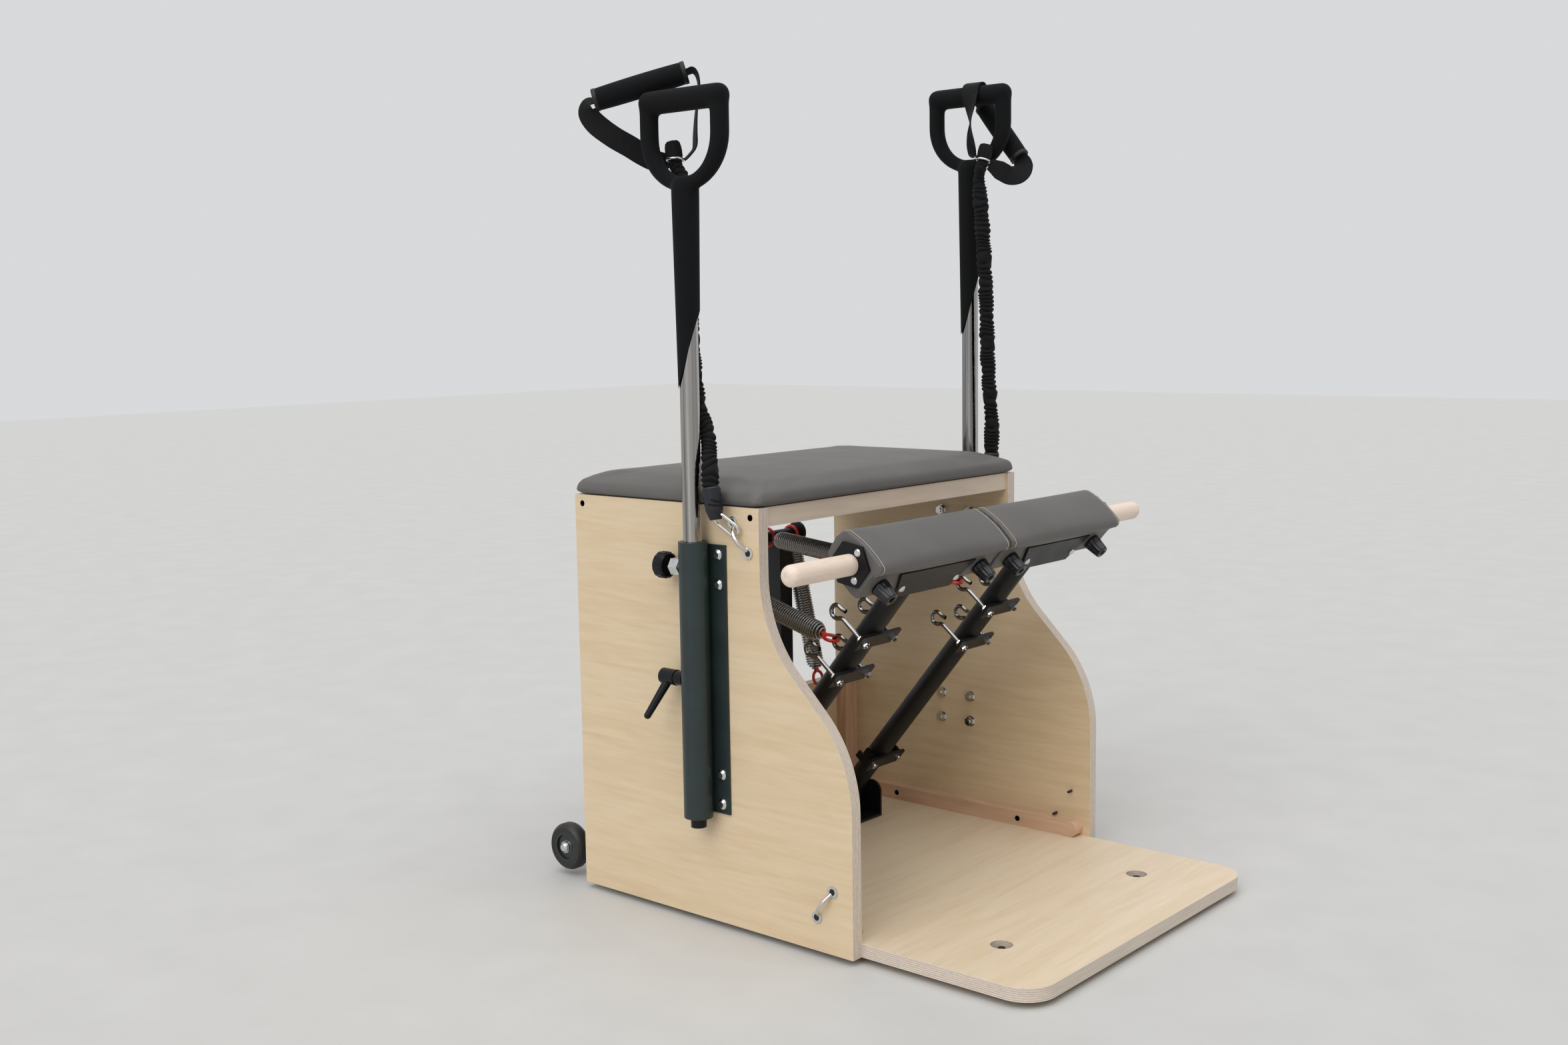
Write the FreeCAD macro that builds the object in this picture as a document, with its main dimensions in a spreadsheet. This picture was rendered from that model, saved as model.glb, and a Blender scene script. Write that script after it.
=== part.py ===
import FreeCAD, Part
import math
import os
import re
import types
import Sketcher
from FreeCAD import Placement, Rotation, Vector

# A pilates chair: a wooden box seat with two sprung pedals in front, a hand pole on each side and
# a cord handle hung on each pole. X runs across, the front looks along -Y, Z is up, the floor is Z = 0.

# Driving dimensions, in millimetres and degrees. Heights are above the underside of the side panels,
# and what hangs from the seat is placed below the panels' top.
SIZES = {
    # side panels with their S-shaped front edge
    "seat_width": 612, "panel_thick": 18, "panel_height": 580, "panel_depth": 505, "panel_top_depth": 354,
    "curve_radius": 180, "curve_angle": 45, "curve_below": 90,
    # base board, rear panel, rails and battens
    "board_reach": 264, "board_thick": 18, "board_corner": 45, "level_spread": 177, "level_setback": 121,
    "level_hole": 15, "rear_height": 216, "rear_inset": 8, "rail_height": 26, "rail_thick": 22,
    "rail_setback": 4, "batten_width": 20, "batten_height": 24, "corner_width": 30,
    # wood screws and pan-head screws
    "wood_head": 4.5, "wood_shank": 2, "wood_sink": 3, "wood_length": 30, "pan_head": 5, "pan_rise": 2.5,
    "pan_length": 15,
    # feet
    "foot_height": 9, "foot_radius": 17, "foot_inset": 40, "stud_radius": 5, "stud_rise": 14,
    # seat cushion
    "seat_overhang": 7, "cushion_edge": 31, "cushion_crown": 8, "cushion_draw": 3,
    # pole sockets on the panels
    "socket_ahead": 255, "socket_offset": 22, "socket_radius": 20, "socket_below": 48,
    "socket_height": 380, "plate_width": 82, "plate_height": 371, "plate_thick": 3, "bolt_spacing": 56,
    "bolt_edge": 18, "bolt_pitch": 41, "bolt_radius": 4, "bolt_head": 7.5, "bolt_head_height": 4.5,
    "nut_flats": 13, "nut_height": 7, "washer_radius": 8.5, "washer_thick": 1.6,
    # hand poles
    "pole_radius": 13, "pole_wall": 2, "pole_tail": 2, "pole_length": 838, "pole_rise": 60,
    "pole_gap": 0.3, "pin_hole_pitch": 60, "plug_drop": 12, "plug_length": 40,
    "grip_tube": 16, "grip_leg_tube": 11, "grip_width": 128, "grip_corner": 8, "grip_leg": 45,
    "grip_overhang": 2, "sleeve_head": 11,
    "sleeve_top": 19, "sleeve_end": 15, "sleeve_length": 252, "sleeve_slant": 100, "sleeve_turn": 40.6,
    # pull pin and clamp lever behind each socket
    "pin_up": 344, "pin_radius": 4, "pin_fit": 0.05, "neck_spigot": 8, "neck_flats": 22,
    "neck_length": 16, "neck_seat": 0.2, "knob_radius": 18.5, "knob_thick": 18, "knob_gap": 9,
    "lever_up": 189, "boss_radius": 10, "boss_length": 15, "hub_radius": 11, "hub_length": 26,
    "lever_reach": 62,
    # pedal arms
    "arm_offset": 150, "pivot_ahead": 129, "pivot_height": 50, "pedal_lean": 39.1, "arm_radius": 16,
    "arm_wall": 2.5, "arm_length": 562, "pivot_radius": 6, "sleeve_radius": 15, "pivot_fit": 0.05,
    "bracket_width": 60, "bracket_length": 104, "bracket_height": 58, "bracket_wall": 4,
    "bracket_round": 18, "side_play": 0.5, "cross_length": 86, "cross_height": 24, "cross_thick": 5,
    "weld": 1,
    "fork_at": 107, "lower_hook_at": 380, "upper_hook_at": 454, "hook_spread": 31, "hook_wire": 3.2,
    "hook_reach": 42, "hook_bend": 9, "hook_stem": 24, "hook_tip": 12, "fork_gap": 8, "fork_wall": 4,
    "fork_reach": 25,
    # pads
    "pad_gap": 6, "pad_thick": 64, "pad_depth": 84, "pad_shift": 6, "pad_face": 27, "pad_crown": 4,
    "pad_draw": 2, "shelf_thick": 4, "shelf_back": 40, "plate_top_width": 168, "plate_foot_width": 122,
    "plate_lap": 3, "bumper_at": 112, "bumper_up": 19, "bumper_base": 13, "bumper_tip": 10,
    "bumper_length": 26, "bumper_hole": 4.5, "pad_screw_at": 61, "pad_screw_up": 9, "screw_radius": 3,
    "screw_head": 5.5, "screw_rise": 3, "screw_length": 20, "plate_clear": 1,
    "flange_width": 54, "flange_thick": 4,
    "dowel_radius": 14, "dowel_length": 848, "dowel_gap": 0.3,
    # springs
    "post_size": 30, "bar_below": 110, "bar_radius": 9, "bar_length": 100,
    "disc_radius": 18, "disc_thick": 5, "coil_radius": 13, "wire_radius": 1.7, "coil_turns": 24,
    "loop_wire": 2.5, "bar_loop": 12, "hook_loop": 9, "loop_neck": 8, "neck_radius": 3.5, "loop_gap": 0.3,
    "spare_clear": 25.6,
    # pad eyes and snap hooks
    "eye_half": 24, "eye_wire": 2.5, "eye_rise": 12, "eye_tab": 8, "eye_tab_thick": 2,
    "top_eye_below": 40.5, "top_eye_ahead": 322, "low_eye_height": 66, "low_eye_ahead": 459,
    "eye_slant": 34, "clip_wire": 2, "clip_length": 38, "clip_half": 8, "clip_lean": 41, "clip_lift": 6.1,
    "clip_along": 4, "clip_aside": 3.7, "gate_gap": 0.4, "cuff_radius": 12, "cuff_length": 44,
    "cuff_end": 12, "cuff_hold": 5, "cord_drop": 72,
    # cord handles
    "cord_radius": 10, "hand_grip_radius": 16, "strap_width": 25, "strap_thick": 2, "ring_radius": 11.5,
    "ring_wire": 1.7, "knot_radius": 10.6, "knot_height": 26, "neck_radius": 7,
    # transport wheels
    "wheel_radius": 35.5, "wheel_width": 24, "wheel_back": 63.5, "wheel_height": 35.5, "wheel_inset": 15,
    "hub_disc": 22, "axle_radius": 4, "wheel_fit": 0.05, "wheel_gap": 2, "ear_thick": 4, "ear_round": 14,
    "bracket_foot": 44,
}

# Places and lengths that follow from the driving dimensions
DERIVED = {
    "outer_half": "=seat_width / 2",
    "inner_half": "=outer_half - panel_thick",
    "inner_width": "=2 * inner_half",
    "panel_front": "=(board_reach - panel_depth - wheel_back - wheel_radius) / 2",
    "panel_rear": "=panel_front + panel_depth",
    "panel_top_front": "=panel_rear - panel_top_depth",
    "board_front": "=panel_front - board_reach",
    "board_top": "=foot_height + board_thick",
    "panel_top": "=foot_height + panel_height",
    "curve_depth": "=curve_radius * (1 - cos(curve_angle))",
    "curve_drop": "=curve_radius * sin(curve_angle)",
    "curve_slope": "=(panel_depth - panel_top_depth - 2 * curve_depth) / tan(curve_angle)",
    "upper_arc_top": "=panel_top - curve_below",
    "upper_arc_end": "=upper_arc_top - curve_drop",
    "lower_arc_top": "=upper_arc_end - curve_slope",
    "lower_arc_end": "=lower_arc_top - curve_drop",
    "rear_face": "=panel_rear - rear_inset",
    "rear_front": "=rear_face - panel_thick",
    "socket_x": "=outer_half + socket_offset",
    "socket_y": "=panel_rear - socket_ahead",
    "socket_z": "=panel_top - socket_below - socket_height",
    "socket_bore": "=pole_radius + pole_gap",
    "pin_z": "=socket_z + pin_up",
    "lever_z": "=socket_z + lever_up",
    "pole_foot": "=socket_z - pole_tail",
    "pivot_y": "=panel_rear - pivot_ahead",
    "pivot_z": "=foot_height + pivot_height",
    "half_bracket": "=bracket_length / 2",
    "cheek_top": "=board_top + bracket_height",
    "cheek_side": "=cheek_top - bracket_round",
    "sleeve_width": "=bracket_width - 2 * bracket_wall - 2 * side_play",
    "cross_front": "=weld - arm_radius - cross_thick",
    "cross_back": "=weld - arm_radius",
    "pad_half": "=arm_offset - pad_gap / 2",
    "pad_bottom": "=arm_length + shelf_thick",
    "plate_top": "=pad_bottom + 0.6 * pad_thick",
    "plate_foot": "=arm_length - plate_lap",
    "half_plate_top": "=plate_top_width / 2",
    "half_plate_foot": "=plate_foot_width / 2",
    "pad_at": "=pad_bottom + pad_thick / 2",
    "dowel_y": "=pivot_y - pad_at * sin(pedal_lean) + pad_shift * cos(pedal_lean)",
    "dowel_z": "=pivot_z + pad_at * cos(pedal_lean) + pad_shift * sin(pedal_lean)",
    "bar_y": "=rear_face + post_size / 2",
    "bar_z": "=panel_top - bar_below",
    "post_rise": "=bar_z - bar_radius + weld - board_top",
    "spare_ahead": "=bar_y - rear_front + spare_clear",
    "spare_drop": "=bar_z - foot_height - rear_height",
    "cord_out": "=seat_overhang + cuff_radius + 1",
    "wheel_x": "=outer_half - wheel_inset - wheel_width / 2",
    "wheel_y": "=panel_rear + wheel_back",
    "wheel_z": "=foot_height + wheel_height",
    "ear_x": "=wheel_x - wheel_width / 2 - wheel_gap - ear_thick",
}

doc = FreeCAD.newDocument("pilates_chair")
sheet = doc.addObject("Spreadsheet::Sheet", "Sizes")
for row, (alias, content) in enumerate({**SIZES, **DERIVED}.items(), start=1):
    sheet.set("A%d" % row, alias)
    sheet.set("B%d" % row, str(content))
    sheet.setAlias("B%d" % row, alias)
doc.recompute()
S = types.SimpleNamespace(**{alias: float(sheet.get(alias)) for alias in {**SIZES, **DERIVED}})

SIDES = (("left", -1), ("right", 1))
AXIS_TURN = {
    "X": Rotation(Vector(0, 1, 0), 90),
    "Y": Rotation(Vector(1, 0, 0), -90),
    "Z": Rotation(),
}
NODES = []


def linked(text):
    """Point every alias in an expression at the sheet."""
    return re.sub(r"[a-z]+[a-z_]*", lambda word: "Sizes." + word.group(), text)


def number(text):
    """Value of a signed sum of aliases."""
    terms = re.findall(r"([+-]?)\s*([a-z_]+)", text)
    return sum(float(sign + "1") * getattr(S, alias) for sign, alias in terms)


def bind(item, **expressions):
    for name, text in expressions.items():
        item.setExpression(name, linked(text))
    return item


def move(item, x, y, z):
    for axis, text in zip("xyz", (x, y, z)):
        if text:
            item.setExpression("Placement.Base." + axis, linked(text))
    return item


def box(length, width, height, x, y, z):
    block = doc.addObject("Part::Box", "Block")
    return move(bind(block, Length=length, Width=width, Height=height), x, y, z)


def rod(radius, length, axis, x, y, z):
    bar = doc.addObject("Part::Cylinder", "Rod")
    bar.Placement = Placement(Vector(), AXIS_TURN[axis])
    return move(bind(bar, Radius=radius, Height=length), x, y, z)


def fuse(*pieces):
    joined = doc.addObject("Part::MultiFuse", "Joined")
    joined.Shapes = list(pieces)
    return joined


def group(*pieces):
    bundle = doc.addObject("Part::Compound", "Group")
    bundle.Links = list(pieces)
    return bundle


def cut(base, *tools):
    hollowed = doc.addObject("Part::Cut", "Hollowed")
    hollowed.Base = base
    hollowed.Tool = tools[0] if len(tools) == 1 else group(*tools)
    return hollowed


def node(label, item):
    item.Label = label
    NODES.append(item)
    return item


def shaped(label, shape, place=None):
    """A piece whose form is lofted, wound or turned."""
    piece = doc.addObject("Part::Feature", "Piece")
    piece.Shape = shape
    if place:
        piece.Placement = place
    return node(label, piece)


def padded_outline(role, corners, thickness):
    """A flat piece: a closed outline of lines and arcs on an origin plane, made as thick as stated.

    A corner is (x, y) for a line to the next corner, or (x, y, radius, side) for an arc, with side 1
    where the arc's centre lies left of the way to the next corner and -1 where it lies right."""
    body = doc.addObject("PartDesign::Body", "Board")
    sketch = body.newObject("Sketcher::SketchObject", "Outline")
    plane = next(item for item in body.Origin.OriginFeatures if item.Role == role)
    sketch.AttachmentSupport = (plane, [""])
    sketch.MapMode = "FlatFace"
    ends = []
    spots = [Vector(number(corner[0]), number(corner[1])) for corner in corners]
    for index, corner in enumerate(corners):
        start, stop = spots[index], spots[(index + 1) % len(spots)]
        if len(corner) == 2:
            ends.append((sketch.addGeometry(Part.LineSegment(start, stop)), 1, 2))
            continue
        radius, side = number(corner[2]), corner[3]
        chord = stop - start
        across = Vector(-chord.y, chord.x).normalize() * side
        centre = start + chord * 0.5 + across * math.sqrt(max(radius ** 2 - chord.Length ** 2 / 4, 0))
        first, last = (start, stop) if side > 0 else (stop, start)
        angles = [math.atan2(spot.y - centre.y, spot.x - centre.x) for spot in (first, last)]
        circle = Part.Circle(centre, Vector(0, 0, 1), radius)
        geometry = sketch.addGeometry(Part.ArcOfCircle(circle, *angles))
        ends.append((geometry, 1, 2) if side > 0 else (geometry, 2, 1))
        limit = sketch.addConstraint(Sketcher.Constraint("Radius", geometry, radius))
        sketch.setExpression("Constraints[%d]" % limit, linked(corner[2]))
    for index, corner in enumerate(corners):
        piece, start, stop = ends[index]
        following = ends[(index + 1) % len(ends)]
        sketch.addConstraint(Sketcher.Constraint("Coincident", piece, stop, following[0], following[1]))
        for kind, text in zip(("DistanceX", "DistanceY"), corner):
            place = sketch.addConstraint(Sketcher.Constraint(kind, -1, 1, piece, start, number(text)))
            sketch.setExpression("Constraints[%d]" % place, linked(text))
    pad = body.newObject("PartDesign::Pad", "Thickness")
    pad.Profile = sketch
    bind(pad, Length=thickness)
    body.Tip = pad
    return body


def turned(profile, at=Vector(), direction=Vector(0, 0, 1)):
    """A turned piece: a closed (radius, height) profile spun about the direction."""
    points = [Vector(radius, 0, height) for radius, height in profile]
    face = Part.Face(Part.makePolygon(points + points[:1]))
    return placed(face.revolve(Vector(), Vector(0, 0, 1), 360), at, direction)


def placed(shape, at, direction):
    result = shape.copy()
    result.Placement = Placement(at, Rotation(Vector(0, 0, 1), direction))
    return result


def rounded_rod(radius, length, rounding):
    bar = Part.makeCylinder(radius, length)
    return bar.makeFillet(rounding, [rim for rim in bar.Edges if rim.Closed])


def hex_nut(flats, height, bore, at, direction):
    """A hexagonal prism with a hole of the stated radius, or none."""
    corners = [Vector(flats / math.sqrt(3), 0, 0)]
    for step in range(1, 6):
        corners.append(Rotation(Vector(0, 0, 1), 60 * step).multVec(corners[0]))
    prism = Part.Face(Part.makePolygon(corners + corners[:1])).extrude(Vector(0, 0, height))
    if bore:
        prism = prism.cut(Part.makeCylinder(bore, height))
    return placed(prism, at, direction)


def ring(radius, wire, at, normal):
    return placed(Part.makeTorus(radius, wire), at, normal)


def arc_between(start, bend, stop):
    """Arc that leaves start towards bend and reaches stop coming from bend, both the same length away."""
    middle = (start + stop) * 0.5
    rise = bend - middle
    half = (stop - start).Length / 2
    angle = math.atan2(rise.Length, half)
    return Part.Arc(start, middle + rise.normalize() * half * math.tan(angle / 2), stop).toShape()


def biarc(start, leave, stop, arrive):
    """Two arcs in a row that leave start along one direction and reach stop along another."""
    gap = stop - start
    both = leave + arrive
    square = 2 * (leave.dot(arrive) - 1)
    linear = -2 * gap.dot(both)
    root = math.sqrt(linear ** 2 - 4 * square * gap.dot(gap))
    reach = 2 * gap.dot(gap) / (root - linear)
    first, second = start + leave * reach, stop - arrive * reach
    join = (first + second) * 0.5
    return [arc_between(start, first, join), arc_between(join, second, stop)]


def rounded_route(points, share=0.45):
    """Straight runs joined by tangent arcs, each as large as its two runs allow, and the arcs' radii."""
    edges = []
    radii = []
    last = points[0]
    for before, corner, after in zip(points, points[1:], points[2:]):
        towards, away = (corner - before), (after - corner)
        turn = towards.getAngle(away)
        reach = share * min(towards.Length, away.Length)
        start = corner - towards.normalize() * reach
        stop = corner + away.normalize() * reach
        radii.append(reach / math.tan(turn / 2))
        edges.append(Part.LineSegment(last, start).toShape())
        edges.append(arc_between(start, corner, stop))
        last = stop
    edges.append(Part.LineSegment(last, points[-1]).toShape())
    return edges, radii


def tube(edges, radius):
    """A round tube along edges that follow each other smoothly."""
    start = edges[0].Vertexes[0].Point
    along = edges[0].tangentAt(edges[0].FirstParameter)
    circle = Part.Wire(Part.makeCircle(radius, start, along))
    return Part.Wire(edges).makePipeShell([circle], True, False)


def band(sections, width, thick):
    """A flat strap through (middle, direction across, direction of its face)."""
    outlines = []
    for middle, across, face in sections:
        side = Vector(across).normalize() * (width / 2)
        lift = Vector(face).normalize() * (thick / 2)
        corners = [middle - side - lift, middle + side - lift, middle + side + lift, middle - side + lift]
        outlines.append(Part.makePolygon(corners + corners[:1]))
    return Part.makeLoft(outlines, True, True)


def cushion_outline(x, front, rear, bottom, edge, crown, tuck):
    """Section of a cushion: flat bottom, bowed front and rear, crowned top."""
    low_front, low_rear = Vector(x, front + tuck / 2, bottom), Vector(x, rear - tuck / 2, bottom)
    top_front, top_rear = Vector(x, front + tuck, bottom + edge), Vector(x, rear - tuck, bottom + edge)
    bulge = bottom + 0.5 * edge
    crest = Vector(x, (front + rear) / 2, bottom + edge + crown)
    return Part.Wire([
        Part.LineSegment(low_front, low_rear).toShape(),
        Part.Arc(low_rear, Vector(x, rear, bulge), top_rear).toShape(),
        Part.Arc(top_rear, crest, top_front).toShape(),
        Part.Arc(top_front, Vector(x, front, bulge), low_front).toShape(),
    ])


# Sections of a cushion from its middle to its end, as shares of the half length
CUSHION_STEPS = (0, 0.3, 0.6, 0.8, 0.9, 0.96, 0.99, 1)
ROUNDING_POWER = 30


def cushion(half, front, rear, bottom, edge, crown, draw, tuck):
    """A crowned cushion, long in X, whose long sides draw in between its corners and whose ends are round."""
    outlines = []
    for share in [-step for step in reversed(CUSHION_STEPS)] + list(CUSHION_STEPS[1:]):
        full = math.sqrt(1 - abs(share) ** ROUNDING_POWER)
        pull = draw * (1 - share ** 2) + tuck * (1 - full) / 2
        rise = crown * (1 - share ** 2) + 1
        outlines.append(cushion_outline(half * share, front + pull, rear - pull, bottom,
                                        edge * (1 + full) / 2, rise, tuck))
    return Part.makeLoft(outlines, True, False)


def side_low(sign, near, thick):
    """Lower X of a block that starts at a distance from the middle plane, on one side."""
    return near if sign > 0 else "-(%s) - %s" % (near, thick)


def signed(sign, text):
    return text if sign > 0 else "-" + text


# Side panels with holes for the socket bolts
for name, sign in SIDES:
    panel = padded_outline("YZ_Plane", [
        ("panel_front", "foot_height"), ("panel_rear", "foot_height"), ("panel_rear", "panel_top"),
        ("panel_top_front", "panel_top"), ("panel_top_front", "upper_arc_top", "curve_radius", -1),
        ("panel_top_front - curve_depth", "upper_arc_end"),
        ("panel_front + curve_depth", "lower_arc_top", "curve_radius", 1),
        ("panel_front", "lower_arc_end")], "panel_thick")
    move(panel, side_low(sign, "inner_half", "panel_thick"), "", "")
    holes = []
    for column in ("-", "+"):
        for height in ("socket_z + bolt_edge", "socket_z + bolt_edge + bolt_pitch",
                       "socket_z + socket_height - bolt_edge",
                       "socket_z + socket_height - bolt_edge - bolt_pitch"):
            holes.append(rod("bolt_radius + pin_fit", "3 * panel_thick", "X",
                             side_low(sign, "inner_half - panel_thick", "3 * panel_thick"),
                             "socket_y %s bolt_spacing / 2" % column, height))
    node(name + "_side_panel", cut(panel, *holes))

# Base board, with two holes over the levelling feet, and the low rear panel
base = padded_outline("XY_Plane", [
    ("-inner_half", "panel_rear"), ("-inner_half", "board_front + board_corner", "board_corner", 1),
    ("-inner_half + board_corner", "board_front"),
    ("inner_half - board_corner", "board_front", "board_corner", 1),
    ("inner_half", "board_front + board_corner"), ("inner_half", "panel_rear")], "board_thick")
move(base, "", "", "foot_height")
level_holes = [rod("level_hole", "3 * board_thick", "Z", signed(sign, "level_spread"),
                   "board_front + level_setback", "foot_height - board_thick") for name, sign in SIDES]
node("base_board", cut(base, *level_holes))
node("rear_panel", box("inner_width", "panel_thick", "rear_height - board_thick", "-inner_half",
                       "rear_front", "board_top"))

# Seat rails, floor battens with a round front end, and rear corner battens with a round top
rails = [box("inner_width", "rail_thick", "rail_height", "-inner_half", place, "panel_top - rail_height")
         for place in ("panel_top_front + rail_setback", "panel_rear - rail_setback - rail_thick")]
for name, sign in SIDES:
    floor_low = side_low(sign, "inner_half - batten_width", "batten_width")
    floor_bar = box("batten_width", "rear_front - panel_front - corner_width - batten_height",
                    "batten_height", floor_low, "panel_front + batten_height", "board_top")
    front_end = rod("batten_height / 2", "batten_width", "X", floor_low, "panel_front + batten_height",
                    "board_top + batten_height / 2")
    rails.append(fuse(floor_bar, front_end))
    corner_low = side_low(sign, "inner_half - corner_width", "corner_width")
    corner_bar = box("corner_width", "batten_width", "rear_height - board_thick - corner_width / 2",
                     corner_low, "rear_front - batten_width", "board_top")
    round_top = rod("corner_width / 2", "batten_width", "Y",
                    signed(sign, "inner_half") + (" - " if sign > 0 else " + ") + "corner_width / 2",
                    "rear_front - batten_width", "foot_height + rear_height - corner_width / 2")
    rails.append(fuse(corner_bar, round_top))
node("wood_rails", group(*rails))

# Feet: four rubber feet under the base board and two levelling feet whose studs show in the holes
feet = []
for name, sign in SIDES:
    for place in ("panel_front + foot_inset", "panel_rear - foot_inset"):
        feet.append(rod("foot_radius", "foot_height", "Z",
                        signed(sign, "inner_half") + (" - " if sign > 0 else " + ") + "foot_inset",
                        place, ""))
    spot = (signed(sign, "level_spread"), "board_front + level_setback")
    disc = rod("foot_radius", "foot_height", "Z", *spot, "")
    stud = rod("stud_radius", "stud_rise", "Z", *spot, "foot_height")
    feet.append(fuse(disc, stud))
node("feet", group(*feet))

# Seat cushion, tucked in at its foot
shaped("seat_cushion", cushion(
    S.outer_half + S.seat_overhang, S.panel_top_front - S.seat_overhang, S.panel_rear + S.seat_overhang,
    S.panel_top, S.cushion_edge, S.cushion_crown, S.cushion_draw, 2 * S.seat_overhang))

# Wood screws: countersunk heads on the panels, in the battens and in the pad eyes
screw_profile = [(0, 0), (S.wood_head, 0), (S.wood_shank, -S.wood_sink), (S.wood_shank, -S.wood_length),
                 (0, -S.wood_length)]
pan_profile = [(0, S.pan_rise), (0.7 * S.pan_head, S.pan_rise), (S.pan_head, 0.4 * S.pan_rise),
               (S.pan_head, 0), (S.wood_shank, 0), (S.wood_shank, -S.pan_length), (0, -S.pan_length)]
screws = []
for name, sign in SIDES:
    out = Vector(sign, 0, 0)
    rail_middle = S.panel_top - S.rail_height / 2
    for y in (S.panel_top_front + S.rail_setback + S.rail_thick / 2,
              S.panel_rear - S.rail_setback - S.rail_thick / 2):
        screws.append(turned(screw_profile, Vector(sign * S.outer_half, y, rail_middle), out))
    for share in (0.25, 0.75):
        y = S.panel_front + share * (S.rear_front - S.panel_front)
        inner = Vector(sign * (S.inner_half - S.batten_width), y, S.board_top + S.batten_height / 2)
        screws.append(turned(screw_profile, inner, -out))


def eye_places(sign):
    """Middle and slant direction of the upper and lower pad eye on one side."""
    slant = Vector(0, math.sin(math.radians(S.eye_slant)), math.cos(math.radians(S.eye_slant)))
    face = sign * S.outer_half
    upper = Vector(face, S.panel_rear - S.top_eye_ahead, S.panel_top - S.top_eye_below)
    lower = Vector(face, S.panel_rear - S.low_eye_ahead, S.foot_height + S.low_eye_height)
    return (upper, slant), (lower, Vector(0, -slant.y, slant.z))


# Pad eyes: a bowed wire between two flat tabs, each held by a screw
eyes = []
for name, sign in SIDES:
    out = Vector(sign, 0, 0)
    for middle, slant in eye_places(sign):
        tabs = []
        holders = []
        for way in (-1, 1):
            spot = middle + slant * way * S.eye_half
            tabs.append(placed(Part.makeCylinder(S.eye_tab, S.eye_tab_thick), spot, out))
            holders.append(turned(screw_profile, spot + out * S.eye_tab_thick, out))
        screws += holders
        foot = S.eye_half - S.eye_tab / 2
        crest = foot - S.eye_rise
        lift = out * (S.eye_tab_thick / 2)
        points = [middle + slant * foot + lift, middle + slant * crest + out * S.eye_rise,
                  middle - slant * crest + out * S.eye_rise, middle - slant * foot + lift]
        bow, radii = rounded_route(points)
        solid = tabs[0].fuse([tabs[1], tube(bow, S.eye_wire)])
        cutter = Part.makeBox(S.eye_rise, 4 * S.eye_half, 4 * S.eye_half)
        cutter.translate(Vector(-S.eye_rise if sign > 0 else 0, -2 * S.eye_half, -2 * S.eye_half) + middle)
        eyes.append(solid.cut([cutter] + holders))
shaped("pad_eyes", Part.makeCompound(eyes))

# Pole sockets: a tube on a flanged plate, bored for the pole and drilled for bolts, pin and lever
for name, sign in SIDES:
    axis_x = signed(sign, "socket_x")
    body_tube = rod("socket_radius", "socket_height", "Z", axis_x, "socket_y", "socket_z")
    plate_low = side_low(sign, "outer_half", "plate_thick")
    plate = box("plate_thick", "plate_width", "plate_height", plate_low, "socket_y - plate_width / 2",
                "socket_z + (socket_height - plate_height) / 2")
    web = box("socket_offset", "socket_radius", "plate_height", side_low(sign, "outer_half", "socket_offset"),
              "socket_y - socket_radius / 2", "socket_z + (socket_height - plate_height) / 2")
    tools = [rod("socket_bore", "2 * socket_height", "Z", axis_x, "socket_y", "socket_z - socket_height / 2")]
    for column in ("-", "+"):
        for height in ("socket_z + bolt_edge", "socket_z + bolt_edge + bolt_pitch",
                       "socket_z + socket_height - bolt_edge",
                       "socket_z + socket_height - bolt_edge - bolt_pitch"):
            tools.append(rod("bolt_radius + pin_fit", "3 * plate_thick", "X",
                             side_low(sign, "outer_half - plate_thick", "3 * plate_thick"),
                             "socket_y %s bolt_spacing / 2" % column, height))
    for height in ("pin_z", "lever_z"):
        tools.append(rod("neck_spigot + pin_fit", "2 * socket_radius", "Y", axis_x, "socket_y", height))
    node(name + "_pole_socket", cut(fuse(body_tube, plate, web), *tools))

# Socket bolts, each with its washer and nut on the inner face of the panel
bolts = []
bolt_rows = (S.bolt_edge, S.bolt_edge + S.bolt_pitch, S.socket_height - S.bolt_edge,
             S.socket_height - S.bolt_edge - S.bolt_pitch)
grip_length = S.plate_thick + S.panel_thick
bolt_reach = grip_length + S.washer_thick + S.nut_height + 2
crown_share = 0.6
bolt_profile = [(0, S.bolt_head_height), (S.bolt_head * crown_share, S.bolt_head_height),
                (S.bolt_head, S.bolt_head_height / 3), (S.bolt_head, 0), (S.bolt_radius, 0),
                (S.bolt_radius, -bolt_reach), (0, -bolt_reach)]
for name, sign in SIDES:
    out = Vector(sign, 0, 0)
    for column in (-0.5, 0.5):
        for row in bolt_rows:
            spot = Vector(sign * (S.outer_half + S.plate_thick), S.socket_y + column * S.bolt_spacing,
                          S.socket_z + row)
            bolts.append(turned(bolt_profile, spot, out))
            inner = spot - out * grip_length
            bore = S.bolt_radius + S.pin_fit
            washer = Part.makeCylinder(S.washer_radius, S.washer_thick)
            washer = washer.cut(Part.makeCylinder(bore, S.washer_thick))
            bolts.append(placed(washer, inner, -out))
            bolts.append(hex_nut(S.nut_flats, S.nut_height, bore, inner - out * S.washer_thick, -out))
shaped("socket_bolts", Part.makeCompound(bolts))

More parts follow.
